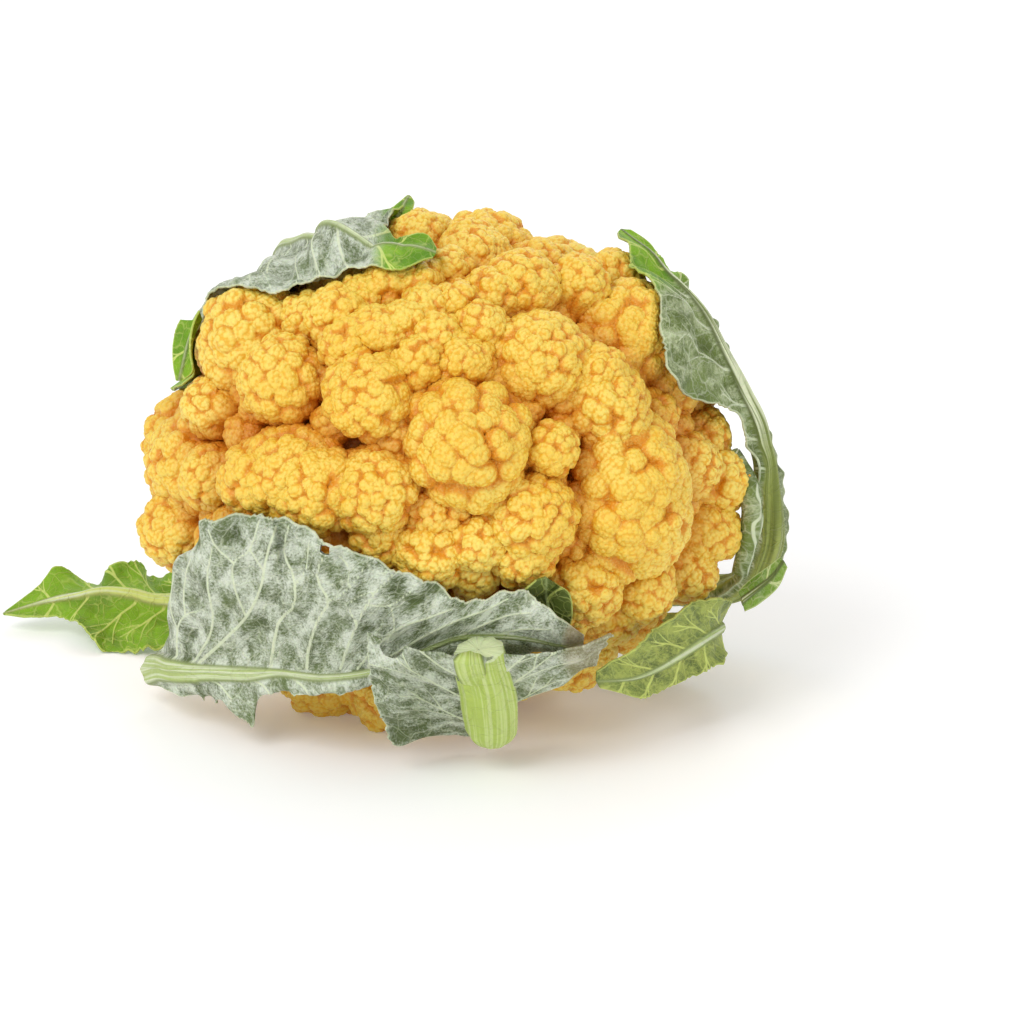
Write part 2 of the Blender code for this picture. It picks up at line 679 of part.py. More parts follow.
def build_leaf_small_tip(group, material, seats):
    """The small dark leaf that stands up behind the large front leaf."""
    rows = [
        ((33, -48, 50), (27, -48, 50), (38, -48, 50)),
        ((32, -43, 52), (24, -44, 52), (39, -44, 52)),
        ((31, -38, 53), (24, -38, 53), (38, -38, 53)),
        ((31, -33, 54), (28, -34, 54), (34, -35, 54)),
    ]
    build_leaf("leaf_small_tip", group, material, rows, seats, 0.001, wave=0.0, count=8,
               columns=6, loose=True)


def build_petiole_stubs(group, material, seats):
    """Leaf stems cut off short round the stalk."""
    for index, degrees in enumerate(STUB_DEGREES):
        rows = [stalk_row(degrees, gap, half, along) for gap, half, along in STUB_ROWS]
        build_leaf("petiole_stub_%d" % (index + 1), group, material, rows, seats, 0.008,
                   bow=-0.15, wave=0.0, teeth=0.0, count=6, taper=0.4)


def main():
    """Build every sub-part of the cauliflower."""
    clear_scene()
    group = new_collection(NAME)
    group.objects.link(bpy.data.objects.new(NAME, None))
    orange = new_material("orange_curd", (0.86, 0.42, 0.06), 0.62)
    flesh = new_material("pale_flesh", (0.62, 0.70, 0.36), 0.5)
    green = new_material("green_leaf", (0.20, 0.40, 0.08), 0.5)
    grey_green = new_material("grey_green_leaf", (0.33, 0.43, 0.32), 0.6)
    dark_green = new_material("dark_green_leaf", (0.10, 0.24, 0.05), 0.5)
    seats = floret_seats()
    spheres = floret_spheres(seats)
    build_curd(group, orange, spheres)
    build_stalk(group, flesh, spheres)
    build_leaf_right(group, green, seats)
    build_leaf_top_left(group, grey_green, seats)
    build_leaf_left(group, green, seats)
    build_leaf_low_right(group, green, seats)
    build_leaf_front(group, grey_green, seats)
    build_leaf_front_cut(group, grey_green, seats)
    build_leaf_small_tip(group, dark_green, seats)
    build_petiole_stubs(group, flesh, seats)


main()
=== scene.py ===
"""Looks of an orange cauliflower head with its leaves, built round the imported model."""

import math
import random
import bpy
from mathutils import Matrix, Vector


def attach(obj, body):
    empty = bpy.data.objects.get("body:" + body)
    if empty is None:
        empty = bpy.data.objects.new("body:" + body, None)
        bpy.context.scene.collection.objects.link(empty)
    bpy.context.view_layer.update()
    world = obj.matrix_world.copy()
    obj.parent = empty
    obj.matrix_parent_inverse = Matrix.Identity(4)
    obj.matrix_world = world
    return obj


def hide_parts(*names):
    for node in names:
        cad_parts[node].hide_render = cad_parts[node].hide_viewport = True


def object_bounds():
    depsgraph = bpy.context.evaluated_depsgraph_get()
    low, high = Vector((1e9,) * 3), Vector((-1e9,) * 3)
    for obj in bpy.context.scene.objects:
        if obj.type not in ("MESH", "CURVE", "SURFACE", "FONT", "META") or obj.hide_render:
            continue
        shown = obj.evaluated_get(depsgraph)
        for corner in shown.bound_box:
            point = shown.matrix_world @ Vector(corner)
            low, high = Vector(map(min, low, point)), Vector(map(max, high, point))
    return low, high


bl_info = {
    "name": "Orange cauliflower",
    "version": (1, 0, 0),
    "blender": (4, 5, 0),
    "location": "View3D > Sidebar > Cauliflower",
    "description": "Grows an orange cauliflower head with its stalk and its leaves",
    "category": "Add Mesh",
}

import bmesh
import bpy
import numpy as np
from mathutils import Vector

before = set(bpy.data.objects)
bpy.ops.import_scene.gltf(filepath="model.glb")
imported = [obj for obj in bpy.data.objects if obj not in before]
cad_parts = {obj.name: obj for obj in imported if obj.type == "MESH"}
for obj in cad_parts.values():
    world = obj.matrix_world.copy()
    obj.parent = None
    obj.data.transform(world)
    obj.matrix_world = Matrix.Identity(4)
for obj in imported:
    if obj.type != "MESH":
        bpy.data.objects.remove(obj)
CAD_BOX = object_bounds()

MM = 0.001
GOLDEN_TURN = math.pi * (3.0 - math.sqrt(5.0))
FULL_SPIN = 6.28
WHITE = (1.0, 1.0, 1.0, 1.0)
FLOOR_SIZE = 6.0
FLOOR_HEIGHT = -0.0002

# lamps: name, the setting that gives the power, share of it, size and place
LAMPS = (
    ("key", "key", 1.0, 0.9, (-0.75, -0.95, 1.25)),
    ("fill", "fill", 0.7, 1.2, (1.1, -1.1, 0.7)),
    ("back", "fill", 1.0, 1.0, (0.3, 1.2, 1.1)),
)

# the head as a whole, as in the part's source
HEAD_MIDDLE = Vector((0.0, 0.0, 0.074))
FRONT_TILT = math.radians(18.0)
ACROSS_WAY = Vector((1.0, 0.0, 0.0))
UP_WAY = Vector((0.0, math.sin(FRONT_TILT), math.cos(FRONT_TILT)))
OUT_WAY = Vector((0.0, -math.cos(FRONT_TILT), math.sin(FRONT_TILT)))
CURD_HALF_WIDTH = 0.091
CURD_HALF_HEIGHT = 0.077
CURD_HALF_DEPTH = 0.078
CURD_BACK_DEPTH = 0.064
CREVICE_FLOOR = 0.76
LEAST_DEPTH_SHARE = 0.02
SQUARENESS = 2.7
FRONT_BULGE = 1.04
CHIN_PLACE = (4, -54, 52)
CHIN_DEPTH = 0.12
CHIN_SPREAD = 0.5
FLORET_GROWTH = 1.18
FILL_SIZES = [(110, 0.0150, 0.0180, 0.70, 0.0), (420, 0.0100, 0.0125, 0.66, 0.003)]
SMALL_FILL = (1500, 0.0055, 0.0078, 0.62, 0.009)
UNDERSIDE_RADIUS = 0.040
UNDERSIDE_ANGLE = math.radians(34.0)
RIM_ANGLE = math.radians(50.0)
REST_CUT = 0.0035
STALK_WAY = Vector((0.03, 0.79, -0.61)).normalized()
STALK_RADIUS = 0.0185
STALK_END = 0.076
STEM_ALONG = 0.069
STUB_DEGREES = (112.0, 277.0, 322.0)
STUB_ROWS = [(0.0012, 0.0070, 0.069), (0.0090, 0.0078, 0.069), (0.0170, 0.0078, 0.065),
             (0.0240, 0.0070, 0.060)]

# the front florets' table is read as seen from here: a distance, and the middle of the view
SEEN_FROM = 1500.0
SEEN_ACROSS = 21.2
SEEN_UP = -14.2

# florets on the front: across, up, radius and how far it is sunk, in millimetres
FLORETS = [
    (-55, 36, 15, 0), (-47, 25, 12, -1), (-21, 20, 12, -2), (-32, 44, 9, 1),
    (-42, 45, 8, 4), (-71, 0, 15, 0), (-83, -20, 12, 0), (-71, 18, 8, 2),
    (-50, -4, 13, 0), (-43, -2, 13, -1), (-36, -7, 13, -1), (-20, -7, 11, 1),
    (8, 6, 17, -4), (-28, 36, 8, 1), (-26, 49, 8, 2), (-16, 53, 8, 0),
    (-7, 54, 7, 0), (2, 58, 7, 0), (-5, 46, 7, 0), (4, 48, 7, 0),
    (12, 42, 7, 0), (15, 51, 8, 0), (-19, 39, 8, 0), (-11, 42, 7, 0),
    (-1, 38, 7, 0), (-8, 31, 7, 1), (7, 31, 8, 1), (23, 52, 10, -1),
    (28, 54, 7, 1), (10, 61, 10, 0), (-7, 67, 8, 0), (9, 66, 7, 0),
    (41, 54, 8, 0), (53, 57, 8, 0), (55, 38, 15, 0), (48, 27, 8, 2),
    (28, 30, 13, -1), (49, 17, 12, 0), (53, -13, 17, -3), (52, -3, 17, -3),
    (34, 5, 7, 2), (27, -15, 11, 1), (12, -25, 8, 3), (26, -28, 9, 3),
    (-4, -27, 11, 2), (11, -36, 7, 5), (-1, -16, 9, 8), (-20, -24, 8, 7),
    (81, -20, 9, 1), (78, -33, 9, 2), (83, -5, 9, 1), (81, 9, 8, 3),
    (69, 15, 8, 7), (63, -38, 10, 4), (44, -38, 11, 3), (41, -48, 8, 4),
    (57, -49, 9, 6), (73, 25, 9, 6), (-60, -42, 15, 4), (-40, -32, 13, 6),
    (-18, -44, 13, 4), (6, -50, 12, 4), (27, -50, 12, 4), (-62, -58, 11, 4),
    (70, 40, 9, 6), (-58, 55, 11, 8),
]
UNDER_FLORETS = [(0, 6, 21), (-32, 10, 18), (-12, 23, 17), (22, -12, 16)]

# leaves as in the part's source
LEAF_CLEARANCE = 0.0033
FLOOR_CLEARANCE = 0.0009
EASE = 0.002
NARROW = 0.010
WIDE = 0.030

# the stalk and the leaves, here only
STALK_MESH = 0.0009
STALK_SOFTENING = 6
CUT_RIM = 0.0016
CUT_FACE = 0.0009
LEAST_HEIGHT = 0.0003
LEAST_SIDE = 0.004
TOOTH_RISE = 0.72
TOOTH_FALL = 0.28
FRILL_LONG = 2.9
FRILL_SHORT = 1.3
OTHER_SIDE_SHIFT = 2.1
PLEAT = 0.6
NO_LINE = -9.0
WAVES = 3.0
ROLL_TURNS = 1.35
ROLL_START = 0.6
RIB_SPREAD = 1.15
NORMAL_TURNS = 24
VEIN_SHARES = (0.0, 0.2, 0.4, 0.6, 0.8, 1.0)
VEIN_FORKS = ((2, 0.42, 0.55), (3, -0.45, 0.42), (4, 0.5, 0.25))

# relief of the curd, in metres, radians and shares of a spacing
RAYS_AT_ONCE = 4000
BEND = 0.0006
BEND_SIZE = 0.0030
PACKING = 0.80
LEAST_LOBES = 9
LOBE_STRAY = 0.22
LOBE_UNEVEN = 0.10
GRANULE_CROWDING = 0.9
GRANULE_STRAY = 0.17
GRANULE_REACH = -0.6
GRANULE_UNEVEN = (0.75, 1.2)
BACK_FACING = -0.2
FLORET_REACH = 0.55
NECK_SHARE = 0.55
NECK_GROUND = 0.93
NECK_DRAW = 0.3
# depth below the even dome at which the painted shade deep between the florets is full
CREVICE_SHADE_DEPTH = 0.024
CORE_GRID = 110
CORE_SHARE = 0.985
CORE_RADIUS = 0.060
CORE_HEIGHT = 0.0004
BARE_ANGLES = (1.05, 0.70)


def front(across, up, out):
    """World point of a place given in millimetres across, up and out of the head's middle."""
    return HEAD_MIDDLE + MM * (ACROSS_WAY * across + UP_WAY * up + OUT_WAY * out)


def to_front(offset):
    """Millimetres across, up and out of an offset from the head's middle."""
    return (offset.dot(ACROSS_WAY) / MM, offset.dot(UP_WAY) / MM, offset.dot(OUT_WAY) / MM)


def unit(vectors):
    """Vectors brought to length one."""
    length = np.linalg.norm(vectors, axis=-1, keepdims=True)
    return vectors / np.maximum(length, 1e-9)


def smooth_step(value, low, high):
    """Rise from 0 at low to 1 at high with soft ends."""
    share = np.clip((value - low) / (high - low), 0.0, 1.0)
    return share * share * (3.0 - 2.0 * share)


def ripple(points, size, seed, layers=3):
    """Soft noise from crossed waves over points, between about -1 and 1."""
    picker = np.random.default_rng(seed)
    total = np.zeros(len(points))
    for layer in range(layers):
        waves = picker.normal(0.0, 1.0, (3, 5)) / size * (1.7 ** layer)
        phase = picker.uniform(0.0, 2.0 * math.pi, 5)
        total += np.sin(points @ waves + phase).mean(axis=1) / (1.6 ** layer)
    return total


def even_ways(count, spin=0.0):
    """Unit directions spread evenly over a ball by the golden angle."""
    index = np.arange(count)
    height = 1.0 - 2.0 * (index + 0.5) / count
    ring = np.sqrt(1.0 - height * height)
    angle = spin + GOLDEN_TURN * index
    return np.stack([ring * np.cos(angle), ring * np.sin(angle), height], axis=1)


def dome_reach(ways):
    """Distance from the head's middle to the even dome, along many unit directions."""
    out = ways @ np.array(OUT_WAY)
    depth = np.where(out > 0.0, CURD_HALF_DEPTH, CURD_BACK_DEPTH)
    width_part = (ways @ np.array(ACROSS_WAY) / CURD_HALF_WIDTH) ** 2
    height_part = (ways @ np.array(UP_WAY) / CURD_HALF_HEIGHT) ** 2
    toward_chin = np.array((front(*CHIN_PLACE) - HEAD_MIDDLE).normalized())
    chin = np.arccos(np.clip(ways @ toward_chin, -1.0, 1.0)) / CHIN_SPREAD
    drawn_in = 1.0 - CHIN_DEPTH * np.exp(-chin * chin)
    return drawn_in / np.sqrt(width_part + height_part + (out / depth) ** 2)


def dome_radius(way):
    """Distance from the head's middle to the even dome, along one unit direction."""
    out = way.dot(OUT_WAY)
    depth = CURD_HALF_DEPTH if out > 0.0 else CURD_BACK_DEPTH
    width_part = (way.dot(ACROSS_WAY) / CURD_HALF_WIDTH) ** 2
    height_part = (way.dot(UP_WAY) / CURD_HALF_HEIGHT) ** 2
    chin = way.angle(front(*CHIN_PLACE) - HEAD_MIDDLE) / CHIN_SPREAD
    drawn_in = 1.0 - CHIN_DEPTH * math.exp(-chin * chin)
    return drawn_in / math.sqrt(width_part + height_part + (out / depth) ** 2)


def fill_seats(seats, count, least, most, spacing, sink):
    """Add florets to the list wherever the even spread of places finds the dome still bare."""
    picker = random.Random(count)
    for row in even_ways(count):
        way = Vector(row)
        radius = picker.uniform(least, most)
        if way.angle(STALK_WAY) < RIM_ANGLE + radius / CURD_HALF_DEPTH:
            continue
        place = way * (dome_radius(way) - radius - sink)
        if all((place - other).length > spacing * (radius + size) for other, size in seats):
            seats.append((place, radius))


def floret_seats():
    """Centres and radii of the large florets, those of the front first, then the sides and back."""
    seats = []
    for across, up, seen, sink in FLORETS:
        radius = seen * FLORET_GROWTH
        wide = across * MM / (CURD_HALF_WIDTH - radius * MM)
        high = up * MM / (CURD_HALF_HEIGHT - radius * MM)
        rim = (abs(wide) ** SQUARENESS + abs(high) ** SQUARENESS) ** (2.0 / SQUARENESS)
        rest = max(1.0 - rim, LEAST_DEPTH_SHARE)
        out = (CURD_HALF_DEPTH / MM - radius) * math.sqrt(rest)
        nearer = 1.0 - out / SEEN_FROM
        place = front(SEEN_ACROSS + (across - SEEN_ACROSS) * nearer,
                      SEEN_UP + (up - SEEN_UP) * nearer, out) - HEAD_MIDDLE
        way = place.normalized()
        furthest = dome_radius(way) * FRONT_BULGE - radius * MM
        seats.append((way * (min(place.length, furthest) - sink * MM), radius * MM))
    for across, toward, radius in UNDER_FLORETS:
        low = radius * MM - REST_CUT - HEAD_MIDDLE.z
        seats.append((Vector((across * MM, -toward * MM, low)), radius * MM))
    for count, least, most, spacing, sink in FILL_SIZES:
        fill_seats(seats, count, least, most, spacing, sink)
    return seats


def mesh_from_arrays(name, points, faces):
    """A smooth shaded mesh from arrays of points and of faces with equal corner counts."""
    mesh = bpy.data.meshes.new(name)
    corners = faces.shape[1]
    mesh.vertices.add(len(points))
    mesh.vertices.foreach_set("co", points.astype(np.float32).ravel())
    mesh.loops.add(len(faces) * corners)
    mesh.loops.foreach_set("vertex_index", faces.astype(np.int32).ravel())
    mesh.polygons.add(len(faces))
    mesh.polygons.foreach_set("loop_start", np.arange(len(faces), dtype=np.int32) * corners)
    mesh.polygons.foreach_set("use_smooth", np.ones(len(faces), dtype=bool))
    mesh.update(calc_edges=True)
    mesh.validate()
    return mesh


def store(mesh, name, values):
    """Keep one number for each point of a mesh under a name, for its material."""
    layer = mesh.attributes.new(name, "FLOAT", "POINT")
    layer.data.foreach_set("value", np.asarray(values, dtype=np.float32))


def new_object(name, data):
    """A new object, linked into the scene."""
    made = bpy.data.objects.new(name, data)
    bpy.context.scene.collection.objects.link(made)
    return made


def aimed_object(name, data, place, way):
    """A new lamp or camera at a place, looking against a direction."""
    made = new_object(name, data)
    made.location = place
    made.rotation_mode = "QUATERNION"
    made.rotation_quaternion = way.to_track_quat("Z", "Y")
    return made


def add_piece(name, mesh, material, slot, *nodes):
    """Put a finished mesh into the scene as a piece that stands for nodes of the frame."""
    piece = new_object(name, mesh)
    mesh.materials.append(material)
    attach(piece, "root")
    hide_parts(*nodes)


# curd

def square_ball(count):
    """Directions and four-sided faces of a ball made of six grids of count by count faces."""
    steps = np.tan(np.linspace(-0.25 * math.pi, 0.25 * math.pi, count + 1))
    first, second = np.meshgrid(steps, steps, indexing="ij")
    level = np.ones_like(first)
    sheets = [(level, first, second), (-level, second, first), (second, level, first),
              (first, -level, second), (first, second, level), (second, first, -level)]
    points = np.concatenate([np.stack(sheet, axis=-1).reshape(-1, 3) for sheet in sheets])
    index = np.arange(len(points)).reshape(6, count + 1, count + 1)
    corners = [index[:, :-1, :-1], index[:, 1:, :-1], index[:, 1:, 1:], index[:, :-1, 1:]]
    faces = np.stack([corner.ravel() for corner in corners], axis=1)
    keys = np.round(points * 1e5).astype(np.int64)
    _, first_use, number_of = np.unique(keys, axis=0, return_index=True, return_inverse=True)
    return unit(points[first_use]), number_of.reshape(-1)[faces]


def furthest_ball(ways, middles, sizes):
    """The ball that each ray from the origin leaves last, and how far out."""
    best = np.zeros(len(ways), dtype=int)
    exits = np.zeros(len(ways))
    ways = ways.astype(np.float32)
    middles = middles.astype(np.float32)
    gap = ((middles ** 2).sum(axis=1) - sizes ** 2).astype(np.float32)
    for start in range(0, len(ways), RAYS_AT_ONCE):
        part = slice(start, start + RAYS_AT_ONCE)
        along = ways[part] @ middles.T
        square = along * along - gap
        far = np.where(square > 0.0, along + np.sqrt(np.maximum(square, 0.0)), 0.0)
        best[part] = far.argmax(axis=1)
        exits[part] = far.max(axis=1)
    return best, exits


def rosette(count, centre, picker, crowd):
    """Spiral of directions round a floret's outward pole, closer together near the pole."""
    ways = even_ways(count, picker.uniform(0.0, FULL_SPIN))
    angle = np.arccos(ways[:, 2])
    new_angle = angle * (crowd + (1.0 - crowd) * angle / math.pi)
    scale = np.sin(new_angle) / np.maximum(np.sin(angle), 1e-6)
    ways = np.stack([ways[:, 0] * scale, ways[:, 1] * scale, np.cos(new_angle)], axis=1)
    turn = Vector((0.0, 0.0, 1.0)).rotation_difference(centre.normalized()).to_matrix()
    size = crowd + 1.5 * (1.0 - crowd) * angle / math.pi
    return ways @ np.array(turn).T, size


def lobed(ways, radius, spacing, poles, picker, settings, seed):
    """Relief of lobes and their granules over a ball: height, lobe share and granule share."""
    centre, crowd = poles
    bent = unit(ways + BEND / radius * np.stack(
        [ripple(ways, BEND_SIZE / radius, seed * 7 + axis, 2) for axis in range(3)], axis=1))
    count = max(LEAST_LOBES, int(4.0 * math.pi * radius ** 2 / (PACKING * spacing ** 2)))
    lobes, size = rosette(count, centre, picker, crowd)
    stray = LOBE_STRAY * (spacing * size / radius)
    lobes = unit(lobes + picker.normal(0.0, stray[:, None], lobes.shape))
    sizes = spacing * size * picker.uniform(*settings.lobe_sizes, count)
    tops = radius + picker.uniform(-LOBE_UNEVEN, LOBE_UNEVEN, count) * spacing
    middles = lobes * (tops - sizes)[:, None]
    ground = radius - settings.lobe_depth * spacing
    home, reach = furthest_ball(bent, middles, sizes)
    nearness = ((bent * reach[:, None] - middles[home]) * lobes[home]).sum(axis=1) / sizes[home]
    lobe = np.where(reach > ground, np.clip(nearness, 0.0, 1.0), 0.0)
    grain = settings.granule
    count = int(4.0 * math.pi * radius ** 2 / (PACKING * grain ** 2))
    grains = rosette(count, centre, picker, GRANULE_CROWDING)[0]
    grains = unit(grains + picker.normal(0.0, GRANULE_STRAY * grain / radius, grains.shape))
    grains = grains[grains @ np.array(centre) > GRANULE_REACH]
    grain_home, grain_reach = furthest_ball(grains, middles, sizes)
    spots = grains * np.maximum(grain_reach, ground)[:, None]
    normals = unit(np.where((grain_reach > ground)[:, None], spots - middles[grain_home], grains))
    wide = grain * picker.uniform(*settings.granule_sizes, len(grains))
    rise = settings.granule_rise * picker.uniform(*GRANULE_UNEVEN, len(grains))
    small_middles = spots + normals * (rise - wide)[:, None]
    reach = np.maximum(reach, ground)
    distance = furthest_ball(bent, small_middles, wide)[1]
    height = np.maximum(distance, reach)
    small = np.clip((height - reach) / settings.granule_rise, 0.0, 1.0)
    return height - radius, lobe, small


def floret_shape(centre, radius, ways, settings, seed):
    """Distance out of a floret's middle along each direction, with its lobes and granules."""
    picker = np.random.default_rng(seed)
    spacing = min(max(settings.lobe_share * radius, settings.lobe_least), settings.lobe_most)
    poles = (centre.normalized(), settings.crowding)
    height, lobe, small = lobed(ways, radius, spacing, poles, picker, settings, seed)
    swell = 1.0 + settings.fullness + settings.unevenness * ripple(ways, 0.7, seed, 2)
    return (radius + height) * swell, lobe, small


def build_floret(number_of, centre, radius, material, settings):
    """One floret: a dome of lobes on a neck that narrows towards the head's middle."""
    outward = np.array(centre.normalized())
    behind = outward @ np.array(OUT_WAY) < BACK_FACING
    side = settings.back_mesh_size if behind else settings.mesh_size
    ways, faces = square_ball(int(0.5 * math.pi * radius / side))
    facing = ways @ outward
    keep = facing > -FLORET_REACH
    new_index = np.cumsum(keep) - 1
    faces = new_index[faces[keep[faces].all(axis=1)]]
    ways = ways[keep]
    facing = facing[keep]
    reach, lobe, small = floret_shape(centre, radius, ways, settings, number_of)
    under = np.maximum(-facing, 0.0)[:, None] / FLORET_REACH
    ground = float(base_reach(outward[None])[0])
    neck = max(0.0, centre.length - NECK_SHARE * radius - NECK_GROUND * ground)
    step = ways * reach[:, None]
    lateral = step - (step @ outward)[:, None] * outward
    drawn = NECK_DRAW * lateral * under ** 2
    offset = np.array(centre) + step - drawn - outward * neck * under
    distance = np.linalg.norm(offset, axis=1)
    depth = dome_reach(offset / distance[:, None]) - distance
    points = offset + np.array(HEAD_MIDDLE)
    points = np.clip(points, CAD_BOX[0], CAD_BOX[1])
    name = "floret_%03d" % number_of
    mesh = mesh_from_arrays(name, points, faces)
    store(mesh, "lobe", lobe)
    store(mesh, "grain", small)
    # how deep each point lies below the even dome, which the curd's material turns into painted
    # shade
    store(mesh, "depth", np.clip(depth / CREVICE_SHADE_DEPTH, 0.0, 1.0))
    add_piece(name, mesh, material, "curd", "curd")


def base_reach(ways):
    """The ground between the florets, drawn in round the stalk at the back."""
    dome = dome_reach(ways) * CREVICE_FLOOR
    angle = np.arccos(np.clip(ways @ np.array(STALK_WAY), -1.0, 1.0))
    share = smooth_step(angle, UNDERSIDE_ANGLE, RIM_ANGLE)
    return UNDERSIDE_RADIUS + (dome - UNDERSIDE_RADIUS) * share


def build_core(material, settings):
    """The ground between the florets, with the bare flesh round the stalk at the back."""
    ways, faces = square_ball(CORE_GRID)
    angle = np.arccos(np.clip(ways @ np.array(STALK_WAY), -1.0, 1.0))
    bare = smooth_step(angle, *BARE_ANGLES)
    picker = np.random.default_rng(1)
    poles = (-STALK_WAY, 1.0)
    height, lobe, small = lobed(
        ways, CORE_RADIUS, settings.lobe_most, poles, picker, settings, 1)
    reach = base_reach(ways) * CORE_SHARE + height * (1.0 - bare)
    points = ways * reach[:, None] + np.array(HEAD_MIDDLE)
    points[:, 2] = np.maximum(points[:, 2], CORE_HEIGHT)
    mesh = mesh_from_arrays("curd_core", points, faces)
    store(mesh, "lobe", lobe)
    store(mesh, "grain", small)
    # the ground between the florets gets the full painted shade of the crevices, less where the
    # flesh is bare
    store(mesh, "depth", 1.0 - 0.6 * bare)
    store(mesh, "flesh", bare)
    add_piece("curd_core", mesh, material, "curd", "curd")


# leaves

def curve_through(points, places):
    """Smooth curve through points, read at places from 0 to 1."""
    points = np.asarray(points, dtype=float)
    count = len(points)
    padded = np.vstack([2 * points[0] - points[1], points, 2 * points[-1] - points[-2]])
    along = np.clip(places * (count - 1), 0.0, count - 1 - 1e-9)
    index = along.astype(int)
    part = (along - index)[:, None]
    a, b, c, d = (padded[index + step] for step in range(4))
    return 0.5 * (2 * b + (c - a) * part + (2 * a - 5 * b + 4 * c - d) * part ** 2
                  + (3 * b - a - 3 * c + d) * part ** 3)


def stalk_side(degrees):
    """Direction out of the stalk: 0 to the right, 90 down, 180 to the left, 270 up."""
    side = (ACROSS_WAY - STALK_WAY * STALK_WAY.x).normalized()
    other = STALK_WAY.cross(side)
    turn = math.radians(degrees)
    return side * math.cos(turn) + other * math.sin(turn)


def stalk_row(degrees, gap, half_width, along=STEM_ALONG):
    """A row of a leaf stem a gap off the stalk: middle, left and right edge, as front places."""
    way = stalk_side(degrees)
    across = STALK_WAY.cross(way)
    middle = STALK_WAY * along + way * (STALK_RADIUS + gap)
    return tuple(to_front(middle + across * step) for step in (0.0, -half_width, half_width))


def eased(value, least):
    """Keep a value above a limit without folding what lies below it flat."""
    gap = value - least
    return least + 0.5 * (gap + np.sqrt(gap * gap + EASE * EASE))


def front_limit(points, seats):
    """How far out each point must lie to be in front of the curd, over where it is seen."""
    out_way = np.array(OUT_WAY)
    limit = np.full(len(points), -1.0)
    for centre, radius in seats:
        gap = points - np.array(centre)
        along = gap @ out_way
        square = (radius + LEAF_CLEARANCE) ** 2 - ((gap ** 2).sum(axis=1) - along ** 2)
        here = points @ out_way - along + np.sqrt(np.maximum(square, 0.0))
        limit = np.where(square > 0.0, np.maximum(limit, here), limit)
    return limit


def in_front_of_head(offsets, half, seats):
    """Move a leaf's surface straight out until the curd is behind it."""
    out_way = np.array(OUT_WAY)
    out = offsets @ out_way
    limit = front_limit(offsets, seats) + half
    return offsets + (eased(out, limit) - out)[:, None] * out_way


def clear_of_head(offsets, half, seats):
    """Push a leaf's surface away from the head's middle, off the curd."""
    distance = np.linalg.norm(offsets, axis=1)
    ways = offsets / distance[:, None]
    centres = np.array([tuple(centre) for centre, radius in seats])
    radii = np.array([radius for centre, radius in seats]) + LEAF_CLEARANCE
    exits = furthest_ball(ways, centres, radii)[1]
    limit = np.maximum(exits, base_reach(ways) + LEAF_CLEARANCE)
    return ways * eased(distance, limit + half)[:, None]


def smooth_line(points, count=14):
    """A line through points with soft bends."""
    points = np.array(points, dtype=float)
    if len(points) < 3:
        return points
    flat = np.concatenate([points, np.zeros((len(points), 1))], axis=1)
    return curve_through(flat, np.linspace(0.0, 1.0, count))[:, :2]


def line_field(places, lines):
    """Millimetres inside the nearest line, negative outside: lines hold points and two widths."""
    field = np.full(len(places), -99.0)
    for points, wide, narrow in lines:
        points = smooth_line(points)
        last = len(points) - 1
        for index in range(last):
            first, second = points[index], points[index + 1]
            way = second - first
            along = np.clip((places - first) @ way / max(way @ way, 1e-9), 0.0, 1.0)
            gap = np.linalg.norm(places - first - along[:, None] * way, axis=1)
            share = (index + along) / last
            field = np.maximum(field, wide + (narrow - wide) * share - gap)
    return field


def grown_veins(length, half_width, settings, seed):
    """Side veins by rule: they leave the midrib in turn, bend towards the tip and fork."""
    picker = random.Random(seed)
    lines = []
    for side in (-1.0, 1.0):
        place = settings.vein_spacing * picker.uniform(0.3, 0.8)
        while place < 0.95 * length:
            lean = math.radians(picker.uniform(46.0, 57.0))
            stretch = max(np.interp(place, *half_width), 2.0) / math.sin(lean)
            points = []
            for share in VEIN_SHARES:
                ahead = math.cos(lean) * share + 0.10 * share ** 2
                aside = math.sin(lean) * share + 0.02 * math.sin(9.0 * share + place)
                points.append((place + stretch * ahead, side * stretch * aside))
            wide = settings.vein_width
            lines.append((points, wide, 0.35 * wide))
            for start, turn, reach in VEIN_FORKS:
                angle = lean + turn
                root = points[start]
                tip = (root[0] + math.cos(angle) * reach * stretch,
                       root[1] + side * math.sin(angle) * reach * stretch)
                middle = (0.5 * (root[0] + tip[0]) + 0.04 * stretch, 0.5 * (root[1] + tip[1]))
                lines.append(([root, middle, tip], 0.5 * wide, 0.25 * wide))
            place += settings.vein_spacing * picker.uniform(0.8, 1.25)
    return lines


def tooth_profile(along, spacing, seed):
    """Uneven saw teeth along a margin, between 0 and 1."""
    shift = 0.45 * np.sin(along / spacing * 0.9 + seed) + 0.3 * np.sin(along / spacing * 2.1)
    phase = (along / spacing + shift) % 1.0
    saw = np.where(phase < TOOTH_RISE, phase / TOOTH_RISE, (1.0 - phase) / TOOTH_FALL)
    size = 0.60 + 0.40 * np.sin(along / spacing * 0.7 + 2.0 * seed)
    return saw * size


def slab_faces(count, width):
    """Four-sided faces of a closed slab over a grid."""
    index = np.arange(count * width).reshape(count, width)
    a, b = index[:-1, :-1].ravel(), index[:-1, 1:].ravel()
    c, d = index[1:, 1:].ravel(), index[1:, :-1].ravel()
    other = count * width
    top = np.stack([a, b, c, d], axis=1)
    under = np.stack([d, c, b, a], axis=1) + other
    border = np.concatenate([index[0], index[1:, -1], index[-1, -2::-1], index[-2:0:-1, 0]])
    follow = np.roll(border, -1)
    rim = np.stack([follow, border, border + other, follow + other], axis=1)
    return np.concatenate([top, under, rim])


def spot_mask(places, spots):
    """Full strength within round spots on the front of the head, fading out at their rims."""
    mask = np.zeros(len(places))
    for across, up, radius, strength in spots:
        gap = np.linalg.norm(places - np.array((across, up)), axis=1)
        mask = np.maximum(mask, strength * smooth_step(gap, radius, 0.6 * radius))
    return mask


